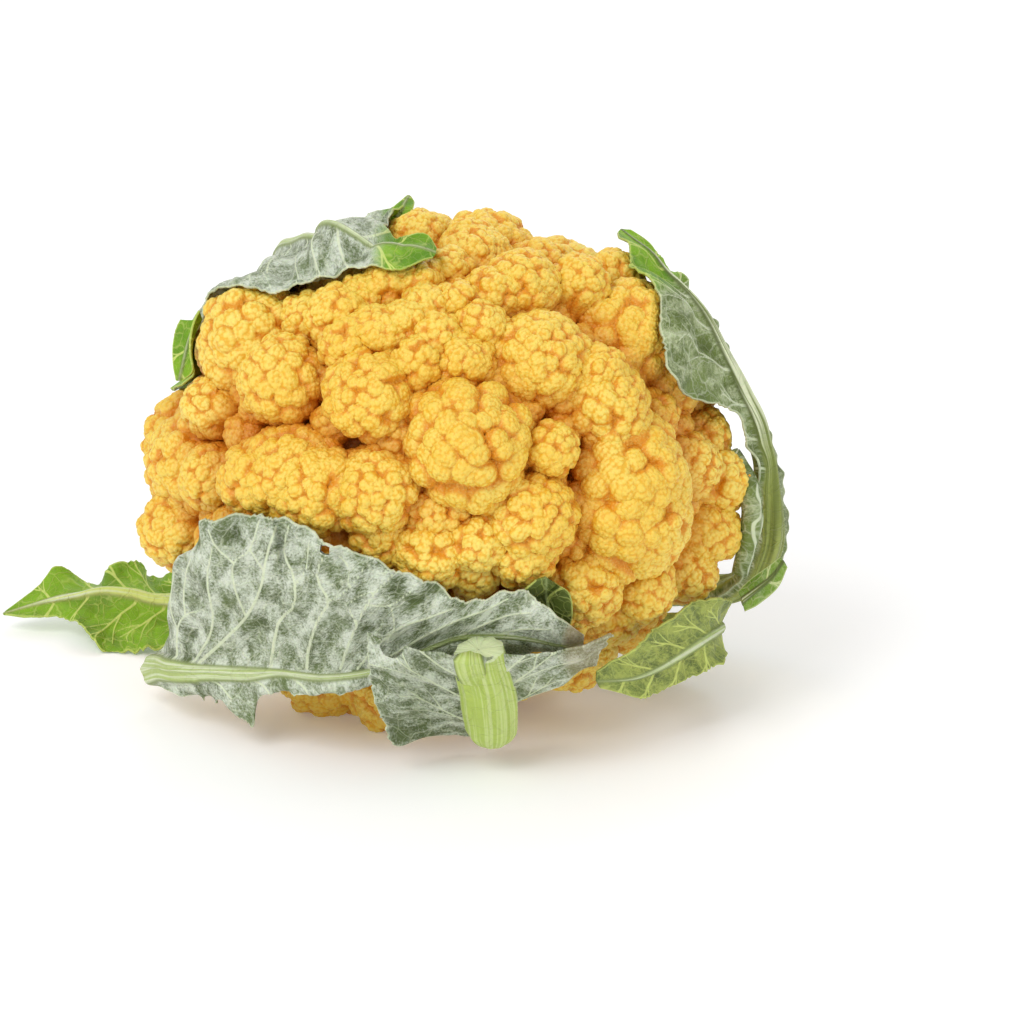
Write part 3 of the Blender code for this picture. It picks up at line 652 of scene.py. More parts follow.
def dent_depth(seen, dents):
    """How far oval dents take the blade back: a place, a width, a height and a depth each."""
    total = np.zeros(len(seen))
    for across, up, wide, high, depth in dents:
        square = ((seen[:, 0] - across) / wide) ** 2 + ((seen[:, 1] - up) / high) ** 2
        total += depth * np.exp(-square)
    return total


def fold_depth(seen, folds):
    """How far folds take the blade back: each has a top, a bottom, a depth and its two reaches."""
    total = np.zeros(len(seen))
    for top, bottom, depth, left_reach, right_reach in folds:
        top = np.array(top, dtype=float)
        bottom = np.array(bottom, dtype=float)
        share = np.clip((top[1] - seen[:, 1]) / (top[1] - bottom[1]), -0.3, 1.0)
        crease = top[0] + (bottom[0] - top[0]) * share
        gap = seen[:, 0] - crease
        if left_reach > 0.0:
            beside = smooth_step(gap, 0.3, -0.8) * np.exp(np.minimum(gap, 0.0) / left_reach)
        else:
            beside = smooth_step(gap, -0.3, 0.8) * np.exp(-np.maximum(gap, 0.0) / right_reach)
        total += depth * beside * smooth_step(share, 1.0, 0.2)
    return total


def even_normals(grid, turns):
    """Normals of a grid, evened out over their neighbours."""
    normals = unit(np.cross(np.gradient(grid, axis=1), np.gradient(grid, axis=0)))
    for turn in range(turns):
        for axis in (0, 1):
            size = normals.shape[axis]
            before = np.take(normals, np.maximum(np.arange(size) - 1, 0), axis)
            after = np.take(normals, np.minimum(np.arange(size) + 1, size - 1), axis)
            normals = 0.5 * normals + 0.25 * (before + after)
        normals = unit(normals)
    return normals


def build_leaf(name, slot, material, rows, seats, settings, stem, ribs, seed, bow=0.1,
               wave=0.003, sag=0.0, count=300, columns=120, taper=1.2, loose=False, teeth=0.9,
               tooth=2.3, frill=1.0, ridging=0.10, fresh=(), dry=(), veins=(), grown=True,
               folds=(), dents=(), holes=(), face=1.0, swell=1.0, stem_end=None, replaced=None):
    """A leaf as one closed body with its midrib, veins, teeth, folds and their masks."""
    places = np.linspace(0.0, 1.0, count)
    middle, left, right = (
        curve_through([tuple(front(*row[line])) for row in rows], places) for line in range(3))
    steps = np.linspace(-1.0, 1.0, columns + 1)
    steps = np.sign(steps) * np.abs(steps) ** 0.9
    share = np.abs(steps)[None, :, None]
    across = right - left
    width = np.linalg.norm(across, axis=1)
    normal = unit(np.cross(across, np.gradient(middle, axis=0)))
    fade = np.clip((width - NARROW) / (WIDE - NARROW), 0.0, 1.0)
    edge = np.where(steps[None, :, None] > 0.0, right[:, None], left[:, None])
    along = np.concatenate([[0.0], np.cumsum(np.linalg.norm(np.diff(middle, axis=0), axis=1))])
    saw = np.where(steps[None, :] > 0.0,
                   tooth_profile(along / MM, tooth, seed)[:, None],
                   tooth_profile(along / MM, tooth, seed + 1.7)[:, None])
    side_length = np.linalg.norm(edge - middle[:, None], axis=2)
    tooth_share = teeth * MM * (saw - 0.6) / np.maximum(side_length, LEAST_SIDE)
    grow = share * (1.0 + (tooth_share * fade[:, None])[:, :, None] * share ** 8)
    grid = middle[:, None] + (edge - middle[:, None]) * grow
    grid = grid + normal[:, None] * bow * width[:, None, None] * share * (1.0 - share)
    side_shift = np.where(steps > 0.0, 0.0, OTHER_SIDE_SHIFT)[None]
    phase = WAVES * 2.0 * math.pi * places[:, None] + side_shift
    lift = wave * share[:, :, 0] ** 2 * np.sin(phase) * fade[:, None]
    frills = np.sin(along[:, None] / MM / FRILL_LONG + 3.0 * (steps > 0.0)[None] + seed)
    frills = frills + 0.8 * np.sin(along[:, None] / MM / FRILL_SHORT + 5.0 * seed)
    lift = lift + frill * MM * share[:, :, 0] ** 6 * frills * fade[:, None]
    grid = grid + normal[:, None] * lift[:, :, None]
    grid[:, :, 2] -= sag * (places[:, None] * 4.0 * share[:, :, 0] * (1.0 - share[:, :, 0]))
    rib_gap = np.linalg.norm(grid - grid[:, columns // 2][:, None], axis=2)
    rib_half = np.interp(places, *zip(*ribs))[:, None] * MM
    rib = stem * (1.0 - places[:, None]) ** taper
    rib_place = rib_gap / (RIB_SPREAD * rib_half)
    rib_shape = np.clip(1.0 - rib_place ** 2, 0.0, 1.0) ** 0.6
    ridges = ridging * np.cos(rib_place * 2.6 * math.pi) * smooth_step(rib_half / MM, 1.5, 3.0)
    half = 0.5 * (settings.blade + rib * rib_shape * (1.0 + ridges))
    flat = grid.reshape(-1, 3) - np.array(HEAD_MIDDLE)
    seen = np.stack([flat @ np.array(ACROSS_WAY), flat @ np.array(UP_WAY)], axis=1) / MM
    back = fold_depth(seen, folds) + dent_depth(seen, dents)
    flat = flat - (back * MM)[:, None] * np.array(OUT_WAY)
    settle = in_front_of_head if loose else clear_of_head
    smooth_half = 0.5 * (settings.blade + rib * np.exp(-(rib_gap / rib_half) ** 2))
    flat = settle(flat, smooth_half.reshape(-1), seats)
    points = flat + np.array(HEAD_MIDDLE)
    points[:, 2] = eased(points[:, 2], smooth_half.reshape(-1) + FLOOR_CLEARANCE)
    grid = points.reshape(grid.shape)
    sheet = np.stack([np.repeat(along / MM, columns + 1),
                      (rib_gap * np.sign(steps)[None]).reshape(-1) / MM], axis=1)
    field = np.full(len(points), NO_LINE)
    if grown:
        half_width = (along / MM, 0.5 * width / MM)
        field = line_field(sheet, grown_veins(along[-1] / MM, half_width, settings, seed))
    if veins:
        field = np.maximum(field, line_field(seen, veins))
    rib_field = (rib_half - rib_gap).reshape(-1) / MM
    nearest = np.minimum(np.maximum(field, rib_field), 0.0)
    puff = 1.0 - np.exp(-(nearest / settings.puff_reach) ** 2)
    ridge = settings.vein_rise * smooth_step(field, -0.45, 0.25)
    rough = ripple(points, 0.010, seed + 40, 3)
    blade_only = smooth_step(rib_gap, rib_half, 2.0 * rib_half + 0.002) * fade[:, None]
    bulge = (ridge - settings.pucker * puff) * blade_only.reshape(-1)
    bulge = bulge + PLEAT * rough * fade.repeat(columns + 1)
    normals = even_normals(grid, NORMAL_TURNS)
    grid = grid + normals * (face * swell * MM * bulge).reshape(count, columns + 1)[:, :, None]
    keep_out = np.ones(count * (columns + 1))
    for across_place, up_place, radius in holes:
        gap = np.linalg.norm(seen - np.array((across_place, up_place)), axis=1)
        keep_out = np.minimum(keep_out, smooth_step(gap, radius, 1.4 * radius))
    margin = (1.0 - share[:, :, 0]) * side_length / MM
    base = np.zeros(count) if stem_end is None else smooth_step(places, stem_end + 0.1, stem_end)
    masks = {"vein": field, "rib": rib_field, "fresh": spot_mask(seen, fresh),
             "dry": spot_mask(seen, dry), "hollow": puff, "margin": margin.reshape(-1),
             "stem": base.repeat(columns + 1)}
    shift = normals * (half * keep_out.reshape(half.shape))[:, :, None]
    add_sheet(name, slot, material, grid, shift, masks, sheet, seed,
              replaced or [name.removesuffix("_fine")], keep_out <= 0.0)


def inside_box(points):
    """Points kept off the floor and within the box of the solids."""
    points[:, 2] = np.maximum(points[:, 2], LEAST_HEIGHT)
    return np.clip(points, CAD_BOX[0], CAD_BOX[1])


def store_masks(mesh, masks, sheet):
    """Keep a leaf's masks and its flat places for its material."""
    for key, values in masks.items():
        store(mesh, key, values)
    layer = mesh.attributes.new("sheet", "FLOAT_VECTOR", "POINT")
    layer.data.foreach_set("vector", sheet.astype(np.float32).ravel())


def add_sheet(name, slot, material, grid, shift, masks, sheet, seed, replaced, gone=None):
    """A leaf's grid made a closed body with its masks, and left open where points are gone."""
    count, width = grid.shape[:2]
    points = np.concatenate([(grid + shift).reshape(-1, 3), (grid - shift).reshape(-1, 3)])
    faces = slab_faces(count, width)
    if gone is not None and gone.any():
        faces = faces[~np.tile(gone, 2)[faces].any(axis=1)]
    mesh = mesh_from_arrays(name, inside_box(points), faces)
    sheet = np.concatenate([np.tile(sheet, (2, 1)), np.full((2 * len(sheet), 1), seed)], axis=1)
    store_masks(mesh, {key: np.tile(values, 2) for key, values in masks.items()}, sheet)
    add_piece(name, mesh, material, slot, *replaced)


def along_path(path, count):
    """Shares of a path, its points, and the directions to its side and across to the front."""
    places = np.linspace(0.0, 1.0, count)
    middle = curve_through([tuple(front(*spot)) for spot in path], places)
    tangent = unit(np.gradient(middle, axis=0))
    side = unit(np.cross(tangent, np.array(OUT_WAY)))
    return places, middle, side, np.cross(side, tangent)


def wrapped(middle, radius, angle, side, ahead):
    """A grid of points round a line, each at its radius and its angle."""
    ring = np.cos(angle)[None, :, None] * side[:, None]
    ring = ring + np.sin(angle)[None, :, None] * ahead[:, None]
    return middle[:, None] + radius[:, :, None] * ring


def build_roll(name, slot, material, path, radii, settings, seed, replaced):
    """A leaf's margin rolled up to a scroll along a path, with its ends open."""
    count, columns = 180, 90
    places, middle, side, ahead = along_path(path, count)
    share = np.linspace(0.0, 1.0, columns + 1)
    angle = 2.0 * math.pi * (ROLL_TURNS * share + ROLL_START)
    radius = np.interp(places, *zip(*radii))[:, None] * MM * (1.0 - 0.5 * share)[None]
    uneven = ripple(np.stack([places.repeat(columns + 1) * 3.0, np.tile(share, count),
                              np.zeros(count * (columns + 1))], axis=1), 0.22, seed, 3)
    radius = radius * (1.0 + 0.10 * uneven.reshape(radius.shape))
    grid = wrapped(middle, radius, angle, side, ahead)
    arc = 2.0 * math.pi * ROLL_TURNS * share[None] * radius / MM
    along = np.linalg.norm(np.diff(middle, axis=0), axis=1).sum() * places / MM
    sheet = np.stack([np.broadcast_to(along[:, None], arc.shape).ravel(), arc.ravel()], axis=1)
    veins = 0.30 - np.abs((0.12 * along[:, None] + arc) % 6.0 - 3.0).ravel()
    nothing = np.zeros(count * (columns + 1))
    margin = np.minimum(places, 1.0 - places)[:, None] * along[-1] + 9.0 * share[None]
    masks = {"vein": veins, "rib": nothing + NO_LINE, "fresh": nothing, "dry": nothing,
             "hollow": nothing + 0.5, "margin": margin.ravel(), "stem": nothing}
    shift = even_normals(grid, 4) * 0.5 * settings.blade
    add_sheet(name, slot, material, grid, shift, masks, sheet, seed, replaced)


def build_cut_stem(name, slot, material, seed, replaced):
    """A thick short piece of stem with grooves along it, cut flat above and round below."""
    count, columns = 150, 140
    places, middle, side, ahead = along_path(CUT_STEM, count)
    angle = np.linspace(0.0, 2.0 * math.pi, columns, endpoint=False)
    wide = np.interp(places, *zip(*CUT_STEM_WIDTHS)) * MM
    closing = np.sqrt(np.clip(1.0 - ((places - 0.80) / 0.20).clip(0.0) ** 2.4, 0.0, 1.0))
    closing = closing * np.minimum(1.0, 0.02 + places / 0.012)
    groove = 1.0 + 0.035 * np.cos(9.0 * angle + 0.5) - 0.10 * np.exp(-((angle - 4.3) / 0.14) ** 2)
    spots = np.stack([np.repeat(places, columns) * 4.0, np.tile(np.cos(angle), count),
                      np.tile(np.sin(angle), count)], axis=1)
    uneven = 1.0 + 0.03 * ripple(spots, 0.6, seed, 3).reshape(count, columns)
    radius = (wide * closing)[:, None] * groove[None] * uneven
    grid = wrapped(middle, radius, angle, side, CUT_STEM_FLATNESS * ahead)
    index = np.arange(count * columns).reshape(count, columns)
    follow = np.roll(index, -1, axis=1)
    corners = (index[:-1], follow[:-1], follow[1:], index[1:])
    mesh = mesh_from_arrays(name, inside_box(grid.reshape(-1, 3)),
                            np.stack([part.ravel() for part in corners], axis=1))
    length = np.linalg.norm(np.diff(middle, axis=0), axis=1).sum() / MM
    along = np.repeat(places * length, columns)
    nothing = np.zeros(count * columns)
    masks = {"vein": nothing + NO_LINE, "rib": nothing + 3.0, "fresh": nothing, "dry": nothing,
             "hollow": nothing, "margin": np.maximum(along - 0.4, 0.0), "stem": nothing}
    store_masks(mesh, masks, np.stack([along, np.tile(angle * 7.0, count), nothing + seed], axis=1))
    add_piece(name, mesh, material, slot, *replaced)


# leaves as rows of middle, left and right edge, in millimetres across, up and out
LEAF_RIGHT = [
    ((50, -31, -62), (47, -38, -60), (53, -24, -64)),
    ((78, -39, -54), (74, -44, -50), (83, -34, -58)),
    ((94, -36, -40), (89, -38, -36), (100, -34, -45)),
    ((100, -25, -22), (94, -26, -18), (106, -25, -30)),
    ((100, -11, -6), (95, -12, -2), (105, -10, -20)),
    ((96, 8, 6), (92, 4, 12), (101, 6, -8)),
    ((91, 20, 12), (88, 15, 18), (96, 18, -6)),
    ((85, 31, 16), (71, 23, 42), (91, 28, -6)),
    ((79, 43, 18), (64, 38, 42), (85, 39, -6)),
    ((71, 53, 16), (59, 50, 34), (77, 49, -4)),
    ((63, 61, 12), (55, 60, 24), (70, 59, 0)),
    ((58, 67, 8), (53, 66, 14), (64, 66, 2)),
    ((54, 71, 4), (53, 70, 6), (57, 71, 3)),
]

# rolled margin of the right leaf, and the small pieces beside the larger leaves
RIGHT_ROLL = [(87.5, 4.0, 9.0), (90.5, -2.0, 10.5), (93.0, -9.0, 11.0), (93.5, -17.0, 10.0),
              (92.0, -25.0, 8.5), (90.0, -33.0, 7.0)]
RIGHT_WING = [
    ((90, -41, 14), (89, -38, 12), (91, -44, 15)),
    ((94, -38, 12), (93, -34.5, 9), (95, -42, 13)),
    ((99, -34, 9), (98, -31, 7), (101, -37, 9)),
    ((103, -29, 6), (102, -28, 5), (104, -31, 6)),
]
TOP_CURL = [
    ((-72, 43, 18), (-78, 43, 14), (-66, 42, 22)),
    ((-75, 36, 20), (-80, 37, 16), (-70, 35, 23)),
    ((-77, 29, 21), (-80, 30, 18), (-73, 28, 23)),
    ((-78, 25, 21), (-79, 25, 20), (-77, 25, 21)),
]
TOP_TIP = [
    ((-13, 73, 2), (-16, 73, 3), (-9.5, 73, 1)),
    ((-12, 77, 0), (-15, 77, 1), (-8.5, 77, -1)),
    ((-11, 80, -3), (-12.5, 79.5, -2), (-8.5, 79, -4)),
    ((-10, 81.5, -5), (-10.5, 81.5, -5), (-9.5, 81, -5)),
]
LEAF_TOP_LEFT = [
    ((-28, 18, -76), (-36, 14, -74), (-18, 20, -76)),
    ((-44, 44, -64), (-68, 24, -58), (-22, 52, -68)),
    ((-50, 58, -38), (-84, 25, -22), (-34, 70, -54)),
    ((-47, 65, -18), (-78, 27, 0), (-31, 73, -38)),
    ((-42, 68, -2), (-68, 45, 22), (-29, 74, -26)),
    ((-34, 67, 18), (-52, 49, 40), (-22, 75, -12)),
    ((-26, 64, 31), (-38, 53, 47), (-12, 80, -5)),
    ((-18, 63, 40), (-24, 57, 49), (-16, 68, 22)),
    ((-11, 63, 45), (-15, 55, 53), (-11, 67, 38)),
    ((-5, 62, 49), (-8, 57, 53), (-4, 67, 42)),
    ((-1, 61, 50), (-2, 59, 51), (-1, 63, 48)),
]
LEAF_LEFT = [
    ((-56, -38, -68), (-56, -31, -72), (-56, -44, -64)),
    ((-87, -43, -72), (-90, -33, -86), (-88, -57, -58)),
    ((-100, -41, -74), (-97, -30, -88), (-100, -58, -57)),
    ((-108, -40, -75), (-105, -34, -87), (-108, -58, -58)),
    ((-116, -41, -76), (-114, -36, -85), (-115, -51, -66)),
    ((-123, -42, -76), (-123, -32, -84), (-122, -47, -72)),
    ((-131, -44, -78), (-130, -38, -83), (-131, -48, -74)),
    ((-141, -47, -79), (-140, -46, -80), (-140, -47, -78)),
]
LEAF_LOW_RIGHT = [
    ((48, -50, -46), (42, -46, -44), (52, -54, -48)),
    ((80, -51, -24), (84, -43, -14), (80, -57, -30)),
    ((84, -49, -2), (86, -41, 6), (87, -56, -7)),
    ((79, -52, 14), (76, -41, 24), (83, -59, 10)),
    ((69, -58, 26), (62, -50, 36), (73, -65, 22)),
    ((58, -63, 34), (54, -56, 42), (61, -69, 30)),
    ((46, -64, 42), (46, -61, 43), (47, -66, 40)),
]
LEAF_FRONT = [
    ((-89, -63, -16), (-88, -59, -17), (-88, -67, -14)),
    ((-84, -62, -6), (-84, -54, -6), (-84, -68, -4)),
    ((-80, -62, 2), (-83, -46, 6), (-78, -70, 4)),
    ((-76, -62, 8), (-80, -29, 26), (-73, -71, 10)),
    ((-73, -62, 11), (-74, -25, 37), (-71, -71, 12)),
    ((-71, -62, 13), (-71, -17, 48), (-69, -72, 15)),
    ((-67, -62, 17), (-68, -16, 52), (-66, -72, 18)),
    ((-58, -62, 24), (-58, -16, 62), (-56, -77, 24)),
    ((-52, -62, 28), (-51, -16, 67), (-53, -69, 28)),
    ((-46, -62, 32), (-44, -17, 71), (-46, -68, 35)),
    ((-34, -63, 40), (-29, -23, 74), (-34, -69, 42)),
    ((-20, -61, 46), (-12, -30, 70), (-20, -66, 46)),
    ((-10, -57, 50), (1, -37, 68), (-8, -61, 48)),
    ((3, -51, 55), (11, -41, 67), (5, -58, 50)),
    ((14, -50, 57), (21, -37, 67), (16, -58, 50)),
    ((26, -51, 57), (31, -42, 66), (27, -57, 50)),
    ((36, -53, 53), (38, -47, 60), (36, -56, 50)),
    ((42, -52, 51), (42, -50, 52), (42, -54, 50)),
]
LEAF_FRONT_CUT = [
    ((14, -80, 32), (2, -81, 34), (21, -74, 32)),
    ((14, -77, 36), (-12, -83, 40), (26, -70, 37)),
    ((14, -74, 42), (-17, -77, 47), (32, -66, 41)),
    ((13, -70, 50), (-20, -70, 54), (39, -63, 44)),
    ((12, -65, 58), (-21, -63, 60), (46, -59, 48)),
    ((10, -60, 66), (-21, -56, 66), (50, -54, 53)),
    ((9, -56, 71), (-21, -49, 70), (51, -51, 57)),
]

# thick cut stem: its line, and its half width in millimetres along it
CUT_STEM = [(11.5, -54.0, 66.0), (12.6, -60.0, 60.0), (14.2, -67.0, 54.0), (15.2, -75.0, 46.0),
            (15.6, -83.0, 39.0)]
CUT_STEM_FLATNESS = 0.78
CUT_STEM_WIDTHS = ((0.0, 7.2), (0.3, 7.9), (0.6, 8.2), (0.85, 7.6), (1.0, 6.4))

LEAF_SMALL_TIP = [
    ((33, -48, 50), (27, -48, 50), (38, -48, 50)),
    ((32, -43, 52), (24, -44, 52), (39, -44, 52)),
    ((31, -38, 53), (24, -38, 53), (38, -38, 53)),
    ((31, -33, 54), (28, -34, 54), (34, -35, 54)),
]

# veins of the front leaf as seen: points across and up, width at the start and at the end
FRONT_VEINS = [
    ([(-72, -59), (-64, -52), (-57, -45), (-52, -36), (-50, -27), (-47, -18)], 0.50, 0.28),
    ([(-57, -45), (-60, -36), (-60, -29), (-55, -25), (-52, -17)], 0.30, 0.2),
    ([(-60, -29), (-65, -24), (-67, -19)], 0.26, 0.2),
    ([(-51, -31), (-55, -25)], 0.24, 0.2),
    ([(-50, -60), (-49, -54), (-47, -46), (-42, -41), (-42, -32), (-45, -26), (-43, -18)],
     0.48, 0.25),
    ([(-42, -36), (-38, -30), (-37, -22)], 0.26, 0.2),
    ([(-39, -60), (-38, -53), (-35, -45), (-32, -40), (-35, -33), (-33, -27), (-29, -22)],
     0.46, 0.25),
    ([(-32, -40), (-27, -37), (-22, -31), (-20, -26)], 0.28, 0.2),
    ([(-27, -37), (-26, -30), (-29, -26)], 0.24, 0.2),
    ([(-29, -60), (-27, -54), (-24, -47), (-21, -41), (-17, -36), (-12, -31)], 0.42, 0.24),
    ([(-24, -47), (-26, -41), (-22, -38), (-18, -37)], 0.24, 0.2),
    ([(-21, -41), (-14, -41), (-8, -37)], 0.26, 0.2),
    ([(-14, -41), (-13, -47), (-15, -52)], 0.22, 0.18),
    ([(-24, -60), (-19, -54), (-12, -48), (-4, -45), (4, -42)], 0.36, 0.22),
    ([(-14, -56), (-4, -50), (6, -45), (14, -42), (20, -39)], 0.34, 0.2),
    ([(4, -51), (12, -47), (20, -44), (27, -43)], 0.28, 0.18),
    ([(16, -50), (24, -48), (32, -48)], 0.24, 0.18),
    ([(-80, -59), (-79, -50), (-76, -45), (-70, -43)], 0.32, 0.2),
    ([(-79, -50), (-81, -42), (-79, -32)], 0.24, 0.18),
    ([(-76, -45), (-76, -36), (-73, -28)], 0.24, 0.18),
    ([(-74, -59), (-69, -52), (-67, -45), (-68, -34), (-66, -24)], 0.38, 0.22),
    ([(-70, -64), (-66, -66), (-62, -70)], 0.3, 0.2),
    ([(-56, -64), (-52, -66), (-50, -68)], 0.26, 0.2),
    ([(-43, -64), (-40, -66), (-38, -68)], 0.26, 0.2),
]

# folds of the front leaf: top, bottom, depth, and reach to the left and to the right
FRONT_FOLDS = [
    ((-71, -16), (-70, -54), 6.0, 9.0, 0.0),
    ((-48, -16), (-44, -54), 5.0, 0.0, 10.0),
    ((-30, -20), (-25, -50), 2.4, 0.0, 8.0),
    ((-60, -18), (-66, -54), 2.0, 0.0, 7.0),
    ((-14, -32), (-12, -50), 1.6, 0.0, 7.0),
]


# materials

def set_values(node, values):
    """The values of a shader node's unlinked sockets."""
    for key, value in values.items():
        node.inputs[key].default_value = value


def add_node(tree, kind, values=None, **settings):
    """A shader node with its settings and the values of its unlinked sockets."""
    node = tree.nodes.new(kind)
    for key, value in settings.items():
        setattr(node, key, value)
    set_values(node, values or {})
    return node


def number(tree, name):
    """The number kept under a name for each point."""
    return add_node(tree, "ShaderNodeAttribute", attribute_name=name).outputs["Fac"]


def remap(tree, value, low, high, start=0.0, end=1.0):
    """A value brought softly from one range to another."""
    node = add_node(tree, "ShaderNodeMapRange",
                    {1: low, 2: high, 3: start, 4: end}, interpolation_type="SMOOTHSTEP")
    tree.links.new(value, node.inputs[0])
    return node.outputs[0]


def mixed(tree, share, first, second, blend="MIX"):
    """Two colours mixed by a share: each is a socket or a plain colour."""
    node = add_node(tree, "ShaderNodeMix", data_type="RGBA", blend_type=blend)
    for index, value in ((0, share), (6, first), (7, second)):
        socket = node.inputs[index]
        if isinstance(value, bpy.types.NodeSocket):
            tree.links.new(value, socket)
        elif isinstance(value, (int, float)):
            socket.default_value = value
        else:
            socket.default_value = (*value, 1.0)
    return node.outputs[2]


def math_node(tree, operation, first, second):
    """One step of arithmetic on two sockets or numbers."""
    node = add_node(tree, "ShaderNodeMath", operation=operation)
    for socket, value in zip(node.inputs, (first, second)):
        if isinstance(value, bpy.types.NodeSocket):
            tree.links.new(value, socket)
        else:
            socket.default_value = value
    return node.outputs[0]


def times(tree, first, second):
    """The product of two sockets or numbers."""
    return math_node(tree, "MULTIPLY", first, second)


def plus(tree, first, second):
    """The sum of two sockets or numbers."""
    return math_node(tree, "ADD", first, second)


def noise(tree, vector, scale, detail=3.0, rough=0.55, stretch=None):
    """Noise over a vector, between about 0.25 and 0.75."""
    if stretch is not None:
        squeeze = add_node(tree, "ShaderNodeMapping", {"Scale": stretch})
        tree.links.new(vector, squeeze.inputs[0])
        vector = squeeze.outputs[0]
    node = add_node(tree, "ShaderNodeTexNoise",
                    {"Scale": scale, "Detail": detail, "Roughness": rough})
    tree.links.new(vector, node.inputs["Vector"])
    return node.outputs[0]


def new_group(name, inputs, outputs):
    """An empty shader group with its sockets."""
    group = bpy.data.node_groups.new(name, "ShaderNodeTree")
    for label, kind, default in inputs:
        socket = group.interface.new_socket(label, in_out="INPUT", socket_type=kind)
        if default is not None:
            socket.default_value = default
    for label, kind in outputs:
        group.interface.new_socket(label, in_out="OUTPUT", socket_type=kind)
    entry = group.nodes.new("NodeGroupInput")
    leave = group.nodes.new("NodeGroupOutput")
    return group, entry.outputs, leave.inputs


def grain_group():
    """Small rounded grains and fine roughness, as height, for curd and flesh."""
    group, entry, leave = new_group(
        "fine_grain",
        [("Vector", "NodeSocketVector", None), ("Grain Size", "NodeSocketFloat", 0.001),
         ("Roughness", "NodeSocketFloat", 0.3)],
        [("Height", "NodeSocketFloat"), ("Mask", "NodeSocketFloat")])
    scale = math_node(group, "DIVIDE", 1.0, entry["Grain Size"])
    cells = add_node(group, "ShaderNodeTexVoronoi", feature="SMOOTH_F1")
    set_values(cells, {"Smoothness": 0.25})
    group.links.new(entry["Vector"], cells.inputs["Vector"])
    group.links.new(scale, cells.inputs["Scale"])
    round_top = remap(group, cells.outputs["Distance"], 0.75, 0.1)
    fine = noise(group, entry["Vector"], 2600.0, 2.0)
    rough = times(group, fine, entry["Roughness"])
    group.links.new(plus(group, round_top, rough), leave["Height"])
    group.links.new(round_top, leave["Mask"])
    return group


def bloom_group():
    """Patches and fine specks of the waxy bloom on a leaf, thinner in its hollows, as a mask."""
    group, entry, leave = new_group(
        "waxy_bloom",
        [("Vector", "NodeSocketVector", None), ("Hollow", "NodeSocketFloat", 0.0),
         ("Amount", "NodeSocketFloat", 0.5)],
        [("Mask", "NodeSocketFloat")])
    patches = noise(group, entry["Vector"], 0.19, 4.0, 0.66, (1.0, 0.65, 1.0))
    specks = noise(group, entry["Vector"], 1.3, 6.0, 0.75)
    both = plus(group, times(group, patches, 0.55), times(group, specks, 0.45))
    sunk = times(group, entry["Hollow"], 0.05)
    moved = plus(group, math_node(group, "SUBTRACT", both, sunk),
                 math_node(group, "SUBTRACT", entry["Amount"], 0.5))
    group.links.new(remap(group, moved, 0.39, 0.59), leave["Mask"])
    return group


def net_group():
    """Fine net of the smallest veins over a leaf, as a mask."""
    group, entry, leave = new_group(
        "small_veins",
        [("Vector", "NodeSocketVector", None), ("Mesh", "NodeSocketFloat", 6.0)],
        [("Mask", "NodeSocketFloat")])
    bent = add_node(group, "ShaderNodeTexNoise", {"Scale": 0.15, "Detail": 2.0})
    group.links.new(entry["Vector"], bent.inputs["Vector"])
    shift = add_node(group, "ShaderNodeVectorMath", {"Scale": 5.0}, operation="SCALE")
    group.links.new(bent.outputs["Color"], shift.inputs[0])
    moved = add_node(group, "ShaderNodeVectorMath", operation="ADD")
    group.links.new(entry["Vector"], moved.inputs[0])
    group.links.new(shift.outputs[0], moved.inputs[1])
    masks = []
    for share, line in ((1.0, 0.05), (0.36, 0.07)):
        size = times(group, entry["Mesh"], share)
        cells = add_node(group, "ShaderNodeTexVoronoi", feature="DISTANCE_TO_EDGE")
        group.links.new(moved.outputs[0], cells.inputs["Vector"])
        group.links.new(math_node(group, "DIVIDE", 1.0, size), cells.inputs["Scale"])
        masks.append(remap(group, cells.outputs["Distance"], line, 0.0))
    fine = times(group, masks[1], 0.45)
    group.links.new(math_node(group, "MAXIMUM", masks[0], fine), leave["Mask"])
    return group


def placed(tree, group, values, **links):
    """A group placed in a material, with its values and links."""
    node = add_node(tree, "ShaderNodeGroup", node_tree=group)
    set_values(node, values)
    for key, value in links.items():
        tree.links.new(value, node.inputs[key])
    return node.outputs


def new_material(name):
    """A material with its tree and its Principled shader."""
    material = bpy.data.materials.new(name)
    material.use_nodes = True
    return material, material.node_tree, material.node_tree.nodes["Principled BSDF"]


def add_bump(tree, shader, height, strength, distance):
    """Bump from a height into the shader's normal."""
    bump = add_node(tree, "ShaderNodeBump", {"Strength": strength, "Distance": distance})
    tree.links.new(height, bump.inputs["Height"])
    tree.links.new(bump.outputs[0], shader.inputs["Normal"])


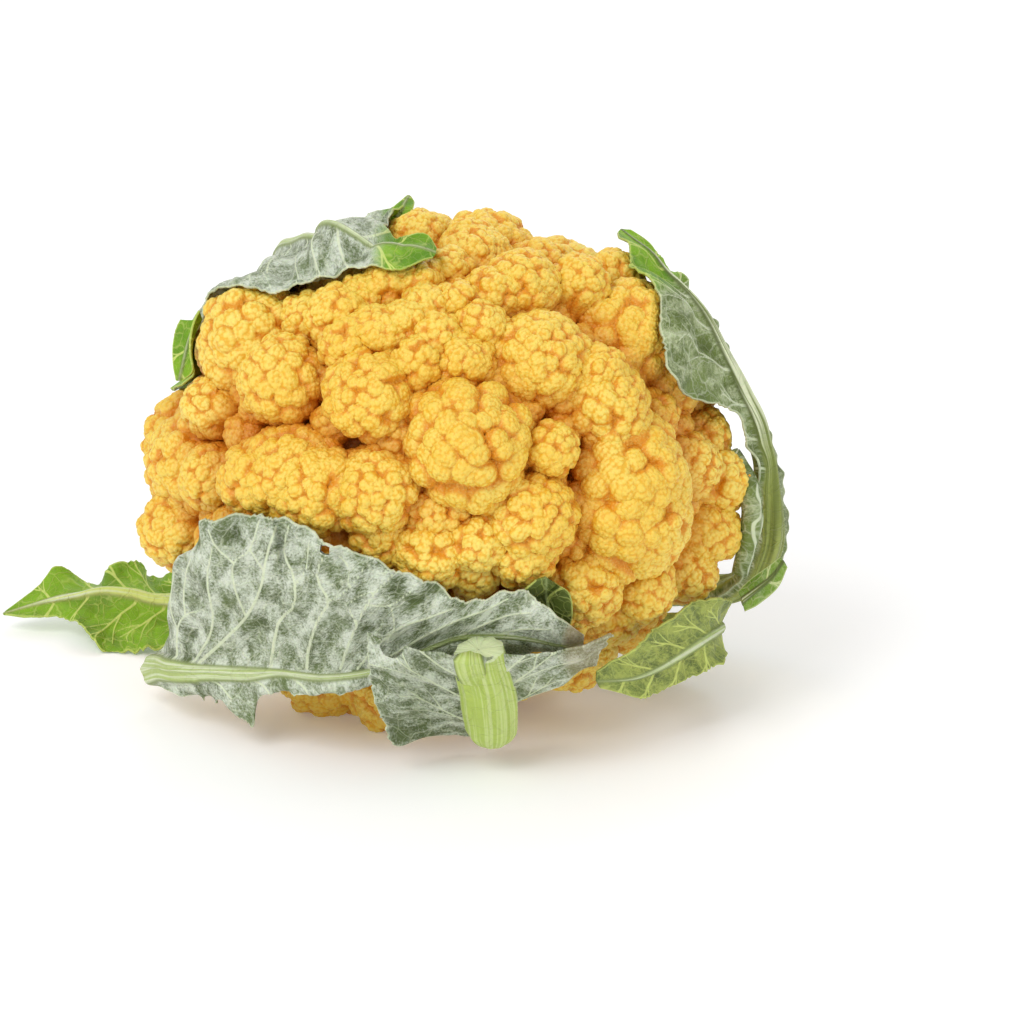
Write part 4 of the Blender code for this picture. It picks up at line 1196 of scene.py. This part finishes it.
def curd_material(colours, grain):
    """Orange curd with painted light: a painted highlight on its yellow tops, painted shade orange
    between the lobes and deep orange painted shade in the crevices.
    """
    material, tree, shader = new_material("orange_curd")
    place = add_node(tree, "ShaderNodeTexCoord").outputs["Object"]
    grains = placed(tree, grain, {"Grain Size": 0.0008, "Roughness": 0.3}, Vector=place)
    lobe = remap(tree, number(tree, "lobe"), 0.50, 0.78)
    small = remap(tree, number(tree, "grain"), 0.05, 0.90)
    depth = remap(tree, number(tree, "depth"), 0.10, 0.62)
    # painted shade: darker orange in the creases between the lobes and between the granules
    raised = times(tree, lobe, plus(tree, 0.70, times(tree, small, 0.30)))
    body = mixed(tree, raised, colours.curd_crease_shade, colours.curd_body)
    # painted highlight on the tops of the granules, uneven over the curd
    broad = remap(tree, noise(tree, place, 22.0, 2.0), 0.35, 0.7)
    top = times(tree, small, plus(tree, 0.35, times(tree, broad, 0.5)))
    body = mixed(tree, times(tree, top, lobe), body, colours.curd_top_highlight)
    # painted highlight on the fine grains
    speck = remap(tree, grains["Mask"], 0.1, 0.9)
    body = mixed(tree, times(tree, speck, 0.22), body, colours.curd_top_highlight)
    # painted shade deep between the florets, by how far below the dome a point lies
    body = mixed(tree, depth, body, colours.curd_crevice_shade)
    body = mixed(tree, number(tree, "flesh"), body, colours.flesh)
    tree.links.new(body, shader.inputs["Base Color"])
    tree.links.new(remap(tree, grains["Mask"], 0.0, 1.0, 0.55, 0.38), shader.inputs["Roughness"])
    set_values(shader, {"Subsurface Weight": 0.12, "Subsurface Radius": (1.0, 0.42, 0.10),
                        "Subsurface Scale": 0.002, "Specular IOR Level": 0.5})
    add_bump(tree, shader, grains["Height"], 0.6, 0.0002)
    return material


def leaf_material(name, groups, blade, bloom, amount, vein, rib_colours):
    """A leaf with its bloom, its midrib with painted shade on its sides, its veins and their fine
    net, greener where fresh.
    """
    material, tree, shader = new_material(name)
    colours = bpy.context.scene.cauliflower_colours
    sheet = add_node(tree, "ShaderNodeAttribute", attribute_name="sheet").outputs["Vector"]
    fresh = number(tree, "fresh")
    mask = placed(tree, groups["bloom"], {"Amount": amount}, Vector=sheet,
                  Hollow=number(tree, "hollow"))["Mask"]
    net = placed(tree, groups["net"], {"Mesh": 7.0}, Vector=sheet)["Mask"]
    shade = remap(tree, noise(tree, sheet, 0.09, 3.0), 0.35, 0.68)
    green = mixed(tree, shade, blade, tuple(0.62 * part for part in blade))
    dull = mixed(tree, mask, green, bloom)
    bright = mixed(tree, shade, colours.fresh_green, colours.fresh_dark)
    colour = mixed(tree, fresh, dull, bright)
    line = remap(tree, number(tree, "vein"), -0.20, 0.10)
    veins = math_node(tree, "MAXIMUM", line, times(tree, net, 0.42))
    vein = mixed(tree, fresh, vein, colours.vein_green)
    colour = mixed(tree, times(tree, veins, 0.85), colour, vein)
    streak = noise(tree, sheet, 1.0, 2.0, 0.5, (0.02, 0.95, 1.0))
    rib_colour = mixed(tree, remap(tree, streak, 0.42, 0.58), *rib_colours)
    # painted shade: the midrib is darker towards its sides
    rib_side_shade = tuple(0.55 * part for part in rib_colours[0])
    rib_colour = mixed(tree, remap(tree, number(tree, "rib"), 0.1, 1.1), rib_side_shade, rib_colour)
    olive = remap(tree, streak, 0.34, 0.66)
    stem_colour = mixed(tree, olive, colours.stem_deep, colours.stem_olive)
    rib_colour = mixed(tree, number(tree, "stem"), rib_colour, stem_colour)
    rib = remap(tree, number(tree, "rib"), -0.5, 0.4)
    colour = mixed(tree, rib, colour, rib_colour)
    rim = remap(tree, number(tree, "margin"), 0.55, 0.1)
    colour = mixed(tree, times(tree, rim, 0.6), colour, vein)
    colour = mixed(tree, number(tree, "dry"), colour, colours.dry)
    tree.links.new(colour, shader.inputs["Base Color"])
    tree.links.new(remap(tree, mask, 0.0, 1.0, 0.42, 0.62), shader.inputs["Roughness"])
    set_values(shader, {"Subsurface Weight": 0.10, "Subsurface Radius": (0.5, 1.0, 0.2),
                        "Subsurface Scale": 0.0012, "Specular IOR Level": 0.28})
    fine = noise(tree, sheet, 1.6, 4.0, 0.65)
    height = plus(tree, times(tree, net, 0.8), times(tree, fine, 0.7))
    height = plus(tree, height, times(tree, times(tree, streak, rib), 0.8))
    add_bump(tree, shader, height, 0.7, 0.0004)
    return material


def flesh_material(colours, groups):
    """Pale flesh of the stalk and its branches, with rings on the cut face."""
    material, tree, shader = new_material("pale_flesh")
    place = add_node(tree, "ShaderNodeTexCoord").outputs["Object"]
    patches = remap(tree, noise(tree, place, 60.0, 4.0), 0.35, 0.65)
    colour = mixed(tree, patches, colours.flesh, colours.rib_green)
    ring = number(tree, "ring")
    pith = mixed(tree, remap(tree, ring, 0.62, 0.8), colours.pith, colours.pith_rim)
    pith = mixed(tree, remap(tree, ring, 0.9, 0.99), pith, colours.rib_green)
    colour = mixed(tree, number(tree, "cut"), colour, pith)
    tree.links.new(colour, shader.inputs["Base Color"])
    set_values(shader, {"Roughness": 0.5, "Subsurface Weight": 0.2,
                        "Subsurface Radius": (1.0, 0.8, 0.3), "Subsurface Scale": 0.002})
    grains = placed(tree, groups["grain"], {"Grain Size": 0.0011, "Roughness": 0.5}, Vector=place)
    add_bump(tree, shader, grains["Height"], 0.3, 0.0003)
    return material


# settings

def number_property(name, description, default, **more):
    """A number that a user may change."""
    return bpy.props.FloatProperty(name=name, description=description, default=default, **more)


def length_property(name, description, default):
    """A length that a user may change."""
    return number_property(name, description, default, unit="LENGTH")


def span_property(name, description, default):
    """A least and a most share that a user may change."""
    return bpy.props.FloatVectorProperty(
        name=name, description=description, default=default, size=2, min=0.3, max=1.2)


def colour_property(name, description, default):
    """A colour that a user may change."""
    return bpy.props.FloatVectorProperty(
        name=name, description=description, default=default, size=3, subtype="COLOR",
        min=0.0, max=1.0)


class CurdSettings(bpy.types.PropertyGroup):
    """Sizes of the florets' relief."""
    lobe_share: number_property(
        "Lobe share", "Spacing of lobes as a share of the floret's radius", 0.45, min=0.2, max=0.8)
    lobe_least: length_property("Least lobe", "Least spacing of lobes", 0.0052)
    lobe_most: length_property("Most lobe", "Most spacing of lobes", 0.0092)
    lobe_depth: number_property(
        "Lobe depth", "Depth of the gaps between lobes as a share of the spacing", 0.42,
        min=0.1, max=1.0)
    lobe_sizes: span_property(
        "Lobe sizes", "Least and most radius of a lobe as a share of the spacing", (0.58, 0.72))
    fullness: number_property(
        "Fullness", "How much fuller than its ball a floret is", 0.04, min=-0.1, max=0.1)
    crowding: number_property(
        "Crowding", "How much closer lobes stand in a floret's middle", 0.55, min=0.4, max=1.0)
    granule: length_property("Granule", "Spacing of the granules on a lobe", 0.0015)
    granule_sizes: span_property(
        "Granule sizes", "Least and most radius as a share of the spacing", (0.60, 0.74))
    granule_rise: length_property("Granule rise", "How far a granule stands proud", 0.00034)
    unevenness: number_property(
        "Unevenness", "How far a floret departs from a ball", 0.11, min=0.0, max=0.2)
    mesh_size: length_property("Mesh size", "Side of a face of the florets in front", 0.00036)
    back_mesh_size: length_property(
        "Back mesh size", "Side of a face of the florets behind", 0.00054)


class LeafSettings(bpy.types.PropertyGroup):
    """Sizes of the leaves' relief."""
    blade: length_property("Blade", "Thickness of a leaf blade", 0.0007)
    vein_spacing: number_property("Vein spacing", "Millimetres between side veins", 13.0)
    vein_width: number_property("Vein width", "Half width of a side vein in millimetres", 0.42)
    vein_rise: number_property(
        "Vein rise", "How far a side vein stands proud, in millimetres", 0.35)
    pucker: number_property(
        "Pucker", "How far the blade sinks between veins, in millimetres", 2.0)
    puff_reach: number_property(
        "Puff reach", "How far from a vein the blade sinks, in millimetres", 4.2)


class ColourSettings(bpy.types.PropertyGroup):
    """Colours of the curd, the flesh and the leaves."""
    # painted highlight on the tops of the granules
    curd_top_highlight: colour_property("Curd top", "Tops of the granules", (0.88, 0.70, 0.15))
    curd_body: colour_property("Curd body", "Body of the curd", (0.81, 0.49, 0.025))
    # painted shade in the creases between the lobes
    curd_crease_shade: colour_property("Curd crease", "Between the lobes", (0.72, 0.29, 0.008))
    # painted shade deep between the florets
    curd_crevice_shade: colour_property("Curd deep", "Deep between the florets", (0.62, 0.20, 0.005))
    flesh: colour_property("Flesh", "Flesh round the stalk", (0.70, 0.70, 0.40))
    leaf_green: colour_property("Leaf green", "Blade of a green leaf", (0.155, 0.215, 0.045))
    grey_green: colour_property("Grey green", "Blade of a waxy leaf", (0.125, 0.170, 0.058))
    dark_green: colour_property(
        "Dark green", "Blade of the small dark leaf", (0.085, 0.12, 0.018))
    fresh_green: colour_property("Fresh green", "Young green of tips", (0.22, 0.42, 0.012))
    fresh_dark: colour_property("Fresh dark", "Darker green of tips", (0.10, 0.24, 0.006))
    grey_bloom: colour_property("Grey bloom", "Bloom on the right leaf", (0.47, 0.53, 0.31))
    stem_olive: colour_property("Stem olive", "Olive of a stem's base", (0.37, 0.43, 0.10))
    stem_deep: colour_property("Stem deep", "Dark streaks of a stem's base", (0.17, 0.21, 0.035))
    chunk_pale: colour_property("Chunk pale", "Pale streaks of a cut stem", (0.55, 0.65, 0.25))
    chunk_green: colour_property("Chunk green", "Green of a cut stem", (0.42, 0.54, 0.11))
    bloom: colour_property("Bloom", "Waxy bloom on a leaf", (0.64, 0.69, 0.57))
    vein: colour_property("Vein", "Veins of a waxy leaf", (0.68, 0.74, 0.52))
    vein_green: colour_property("Vein green", "Veins of a green leaf", (0.60, 0.68, 0.18))
    dry: colour_property("Dry", "Withered end of a leaf", (0.45, 0.34, 0.20))
    rib_pale: colour_property("Rib pale", "Pale streaks of a midrib", (0.64, 0.70, 0.46))
    stem_pale: colour_property("Stem pale", "Pale streaks of a dark stem", (0.70, 0.75, 0.50))
    stem_green: colour_property("Stem green", "Green of a dark stem", (0.17, 0.22, 0.05))
    rib_green: colour_property("Rib green", "Green of a midrib", (0.42, 0.52, 0.18))
    pith: colour_property("Pith", "Middle of the stalk's cut face", (0.83, 0.80, 0.62))
    pith_rim: colour_property("Pith rim", "Ring round the pith", (0.62, 0.70, 0.40))


class StageSettings(bpy.types.PropertyGroup):
    """Camera, floor and lights."""
    distance: length_property("Distance", "Camera to the head's middle", 1.5)
    frame_width: length_property("Frame width", "Width seen at the head's middle", 0.310)
    floor: colour_property("Floor", "Colour of the floor", (0.93, 0.93, 0.93))
    table_glow: number_property("Table glow", "Light that the light table gives off", 0.12)
    key: number_property("Key", "Key light in watts", 12.5)
    fill: number_property("Fill", "Fill light in watts", 5.0)
    sky: number_property("Sky", "Light from all round", 0.70)


def shared_groups():
    """The shader groups, built once."""
    made = {"grain": "fine_grain", "bloom": "waxy_bloom", "net": "small_veins"}
    makers = {"grain": grain_group, "bloom": bloom_group, "net": net_group}
    return {key: bpy.data.node_groups.get(name) or makers[key]() for key, name in made.items()}


def leaf_looks(kind):
    """The material of one kind of leaf, built once."""
    found = bpy.data.materials.get(kind)
    if found is not None:
        return found
    colours = bpy.context.scene.cauliflower_colours
    pale = (colours.rib_green, colours.rib_pale)
    dark = (colours.stem_green, colours.stem_pale)
    fresh = (colours.vein_green, colours.vein)
    cut = (colours.chunk_green, colours.chunk_pale)
    blade, bloom, amount, vein, rib = {
        "waxy_leaf": (colours.grey_green, colours.bloom, 0.50, colours.vein, pale),
        "cut_leaf": (colours.grey_green, colours.bloom, 0.50, colours.vein, cut),
        "ridged_leaf": (colours.leaf_green, colours.grey_bloom, 0.46, colours.vein, dark),
        "fresh_leaf": (colours.fresh_green, colours.vein_green, 0.34, colours.vein_green, fresh),
        "olive_leaf": (colours.leaf_green, colours.stem_olive, 0.50, colours.vein_green, pale),
        "dark_leaf": (colours.dark_green, colours.leaf_green, 0.44, colours.vein_green, pale),
    }[kind]
    return leaf_material(kind, shared_groups(), blade, bloom, amount, vein, rib)


# operators

class CauliflowerStage(bpy.types.Operator):
    """Floor, lights and camera"""
    bl_idname = "cauliflower.stage"
    bl_label = "Stage"

    def execute(self, context):
        settings = context.scene.cauliflower_stage
        scene = context.scene
        scene.view_settings.view_transform = "Standard"
        shape = bmesh.new()
        bmesh.ops.create_grid(shape, x_segments=2, y_segments=2, size=FLOOR_SIZE)
        mesh = bpy.data.meshes.new("floor")
        shape.to_mesh(mesh)
        shape.free()
        floor = new_object("floor", mesh)
        floor.location.z = FLOOR_HEIGHT
        material, _, shader = new_material("pale_floor")
        set_values(shader, {"Base Color": (*settings.floor, 1.0), "Roughness": 0.6,
                            "Specular IOR Level": 0.2, "Emission Color": WHITE,
                            "Emission Strength": settings.table_glow})
        mesh.materials.append(material)
        world = bpy.data.worlds.new("studio")
        scene.world = world
        world.use_nodes = True
        set_values(world.node_tree.nodes["Background"], {"Color": WHITE, "Strength": settings.sky})
        for name, source, share, size, place in LAMPS:
            light = bpy.data.lights.new(name, "AREA")
            light.energy = share * getattr(settings, source)
            light.size = size
            aimed_object(name, light, place, Vector(place) - HEAD_MIDDLE)
        place = front(SEEN_ACROSS, SEEN_UP, 0.0) + OUT_WAY * settings.distance
        camera = aimed_object("camera", bpy.data.cameras.new("camera"), place, OUT_WAY)
        camera.data.angle = 2.0 * math.atan(0.5 * settings.frame_width / settings.distance)
        scene.camera = camera
        return {"FINISHED"}


class CauliflowerCurd(bpy.types.Operator):
    """The florets of the head and the ground between them"""
    bl_idname = "cauliflower.curd"
    bl_label = "Curd"

    def execute(self, context):
        settings = context.scene.cauliflower_curd
        colours = context.scene.cauliflower_colours
        material = curd_material(colours, shared_groups()["grain"])
        seats = floret_seats()
        fill_seats(seats, *SMALL_FILL)
        for index, (centre, radius) in enumerate(seats):
            build_floret(index + 1, centre, radius, material, settings)
        build_core(material, settings)
        return {"FINISHED"}


class CauliflowerStalk(bpy.types.Operator):
    """The stalk with its branches and its cut face"""
    bl_idname = "cauliflower.stalk"
    bl_label = "Stalk"

    def execute(self, context):
        colours = context.scene.cauliflower_colours
        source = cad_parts["stalk"]
        work = new_object("stalk_work", source.data.copy())
        even = work.modifiers.new("even", "REMESH")
        even.mode = "VOXEL"
        even.voxel_size = STALK_MESH
        soft = work.modifiers.new("soft", "SMOOTH")
        soft.factor = 0.5
        soft.iterations = STALK_SOFTENING
        graph = context.evaluated_depsgraph_get()
        mesh = bpy.data.meshes.new_from_object(work.evaluated_get(graph))
        bpy.data.objects.remove(work)
        mesh.materials.clear()
        mesh.shade_smooth()
        points = np.zeros(len(mesh.vertices) * 3)
        mesh.vertices.foreach_get("co", points)
        offsets = points.reshape(-1, 3) - np.array(HEAD_MIDDLE)
        along = offsets @ np.array(STALK_WAY)
        radial = np.linalg.norm(offsets - along[:, None] * np.array(STALK_WAY), axis=1)
        store(mesh, "cut", smooth_step(along, STALK_END - CUT_RIM, STALK_END - CUT_FACE))
        store(mesh, "ring", radial / STALK_RADIUS)
        material = flesh_material(colours, shared_groups())
        add_piece("stalk_fine", mesh, material, "pale_flesh", "stalk")
        return {"FINISHED"}


class CauliflowerLeaves(bpy.types.Operator):
    """The leaves that are grown on the stalk"""
    bl_idname = "cauliflower.leaves"
    bl_label = "Leaves"

    def execute(self, context):
        settings = context.scene.cauliflower_leaves
        seats = floret_seats()
        rows = [stalk_row(8.0, 0.0010, -0.0075)] + LEAF_RIGHT
        ribs = ((0.0, 5.5), (0.31, 5.6), (0.39, 5.2), (0.46, 4.2), (0.54, 3.2), (0.62, 2.4),
                (0.70, 1.8), (0.77, 1.3), (0.85, 0.9), (1.0, 0.4))
        build_leaf("leaf_right_fine", "green_leaf", leaf_looks("ridged_leaf"), rows, seats,
                   settings, 0.0095, bow=-0.10, wave=0.0012, ribs=ribs, taper=1.0, seed=2,
                   count=420, columns=110, fresh=[(57, 68, 24, 1.0)], stem_end=0.40, ridging=0.16)
        build_roll("leaf_right_roll", "green_leaf", leaf_looks("ridged_leaf"), RIGHT_ROLL,
                   ((0.0, 2.4), (0.2, 3.6), (0.6, 3.8), (1.0, 2.6)), settings, seed=21,
                   replaced=["leaf_right"])
        build_leaf("leaf_right_wing", "green_leaf", leaf_looks("ridged_leaf"), RIGHT_WING, seats,
                   settings, 0.0015, bow=0.10, wave=0.0008, ribs=((0.0, 1.2), (1.0, 0.4)), seed=22,
                   count=110, columns=80, teeth=1.2, tooth=2.0, fresh=[(97, -38, 30, 0.55)],
                   replaced=["leaf_right"])
        rows = [stalk_row(228.0, 0.0010, 0.0075)] + LEAF_TOP_LEFT
        ribs = ((0.0, 5.0), (0.25, 3.6), (0.42, 2.0), (0.6, 1.3), (1.0, 0.5))
        build_leaf("leaf_top_left_fine", "grey_green_leaf", leaf_looks("waxy_leaf"), rows, seats,
                   settings, 0.0075, bow=0.12, wave=0.0010, ribs=ribs, taper=1.6, seed=3,
                   count=346, columns=142, face=-1.0, frill=0.6,
                   fresh=[(-81, 30, 17, 1.0), (-11, 80, 10, 1.0), (-6, 59, 15, 1.0)])
        for name, rows, seed in (("curl", TOP_CURL, 23), ("tip", TOP_TIP, 24)):
            build_leaf("leaf_top_left_" + name, "grey_green_leaf", leaf_looks("waxy_leaf"), rows,
                       seats, settings, 0.0012, bow=0.12, wave=0.0008,
                       ribs=((0.0, 0.9), (1.0, 0.4)), seed=seed, count=110,
                       columns=90, teeth=1.2, tooth=1.8,
                       fresh=[(rows[1][0][0], rows[1][0][1], 60, 1.0)],
                       replaced=["leaf_top_left"])
        rows = [stalk_row(165.0, 0.0010, -0.0075)] + LEAF_LEFT
        ribs = ((0.0, 5.0), (0.3, 2.6), (0.7, 1.5), (1.0, 0.4))
        build_leaf("leaf_left_fine", "green_leaf", leaf_looks("fresh_leaf"), rows, seats,
                   settings, 0.0065, bow=0.08, ribs=ribs, seed=4, count=380, columns=90, face=-1.0,
                   teeth=1.4, tooth=3.0)
        rows = [stalk_row(60.0, 0.0010, 0.0075)] + LEAF_LOW_RIGHT
        build_leaf("leaf_low_right_fine", "green_leaf", leaf_looks("olive_leaf"), rows, seats,
                   settings, 0.0060, bow=0.05, ribs=ribs, seed=5, count=380, columns=90, face=-1.0,
                   teeth=1.4, tooth=3.0)
        return {"FINISHED"}


class CauliflowerCutLeaves(bpy.types.Operator):
    """The cut leaves that lean against the front"""
    bl_idname = "cauliflower.cut_leaves"
    bl_label = "Cut leaves"

    def execute(self, context):
        settings = context.scene.cauliflower_leaves
        seats = floret_seats()
        ribs = ((0.0, 4.6), (0.45, 3.0), (0.62, 1.8), (0.8, 1.2), (1.0, 0.5))
        build_leaf("leaf_front_fine", "grey_green_leaf", leaf_looks("waxy_leaf"), LEAF_FRONT, seats,
                   settings, 0.0065, bow=0.08, wave=0.0015, count=342, columns=144, loose=True,
                   ribs=ribs, veins=FRONT_VEINS, grown=False, seed=6, folds=FRONT_FOLDS,
                   holes=[(-32.4, -24.8, 1.0)], dry=[(41, -51, 6, 0.6)])
        build_leaf("leaf_front_cut_fine", "grey_green_leaf", leaf_looks("cut_leaf"),
                   LEAF_FRONT_CUT, seats, settings, 0.0040, bow=0.0, wave=0.0, sag=0.002,
                   count=170, columns=240, taper=0.0, loose=True, ribs=((0.0, 4.0), (1.0, 4.0)),
                   dents=[(-2, -67, 7, 12, 9.0), (-15, -72, 5, 11, -6.0), (33, -62, 9, 3, -2.5)],
                   folds=[((5, -50), (7, -84), 3.0, 8.0, 0.0)],
                   holes=[(-13.5, -53.0, 3.4)], dry=[(46, -56, 12, 0.35)], seed=7)
        build_cut_stem("leaf_front_cut_stem", "grey_green_leaf", leaf_looks("cut_leaf"), 25,
                       ["leaf_front_cut"])
        build_leaf("leaf_small_tip_fine", "dark_green_leaf", leaf_looks("dark_leaf"),
                   LEAF_SMALL_TIP, seats, settings, 0.001, wave=0.0, count=100, columns=90,
                   loose=True, ribs=((0.0, 0.6), (1.0, 0.3)), seed=8, teeth=0.7, tooth=1.8,
                   swell=0.5)
        return {"FINISHED"}


class CauliflowerStubs(bpy.types.Operator):
    """Leaf stems cut off short round the stalk"""
    bl_idname = "cauliflower.stubs"
    bl_label = "Cut stems"

    def execute(self, context):
        settings = context.scene.cauliflower_leaves
        seats = floret_seats()
        for index, degrees in enumerate(STUB_DEGREES):
            rows = [stalk_row(degrees, gap, half, along) for gap, half, along in STUB_ROWS]
            build_leaf("petiole_stub_%d_fine" % (index + 1), "pale_flesh",
                       leaf_looks("fresh_leaf"), rows, seats, settings, 0.008, bow=-0.15,
                       wave=0.0, count=80, columns=60, taper=0.4,
                       ribs=((0.0, 6.5), (1.0, 6.0)), teeth=0.0, frill=0.0, grown=False,
                       swell=0.2, seed=9 + index)
        return {"FINISHED"}


class CauliflowerPanel(bpy.types.Panel):
    """The steps that build the cauliflower"""
    bl_idname = "VIEW3D_PT_cauliflower"
    bl_label = "Cauliflower"
    bl_space_type = "VIEW_3D"
    bl_region_type = "UI"
    bl_category = "Cauliflower"

    def draw(self, context):
        for step in STEPS:
            self.layout.operator(step.bl_idname)


STEPS = (CauliflowerStage, CauliflowerCurd, CauliflowerStalk, CauliflowerLeaves,
         CauliflowerCutLeaves, CauliflowerStubs)
GROUPS = {
    "cauliflower_curd": CurdSettings,
    "cauliflower_leaves": LeafSettings,
    "cauliflower_colours": ColourSettings,
    "cauliflower_stage": StageSettings,
}


def register():
    """Register the settings, the operators and the panel."""
    for name, group in GROUPS.items():
        bpy.utils.register_class(group)
        setattr(bpy.types.Scene, name, bpy.props.PointerProperty(type=group))
    for step in STEPS:
        bpy.utils.register_class(step)
    bpy.utils.register_class(CauliflowerPanel)


def unregister():
    """Take the panel, the operators and the settings away again."""
    bpy.utils.unregister_class(CauliflowerPanel)
    for step in reversed(STEPS):
        bpy.utils.unregister_class(step)
    for name, group in GROUPS.items():
        delattr(bpy.types.Scene, name)
        bpy.utils.unregister_class(group)


def main():
    """Register the settings and build the cauliflower step by step."""
    register()
    for step in STEPS:
        group, name = step.bl_idname.split(".")
        getattr(getattr(bpy.ops, group), name)()


if __name__ == "__main__":
    main()
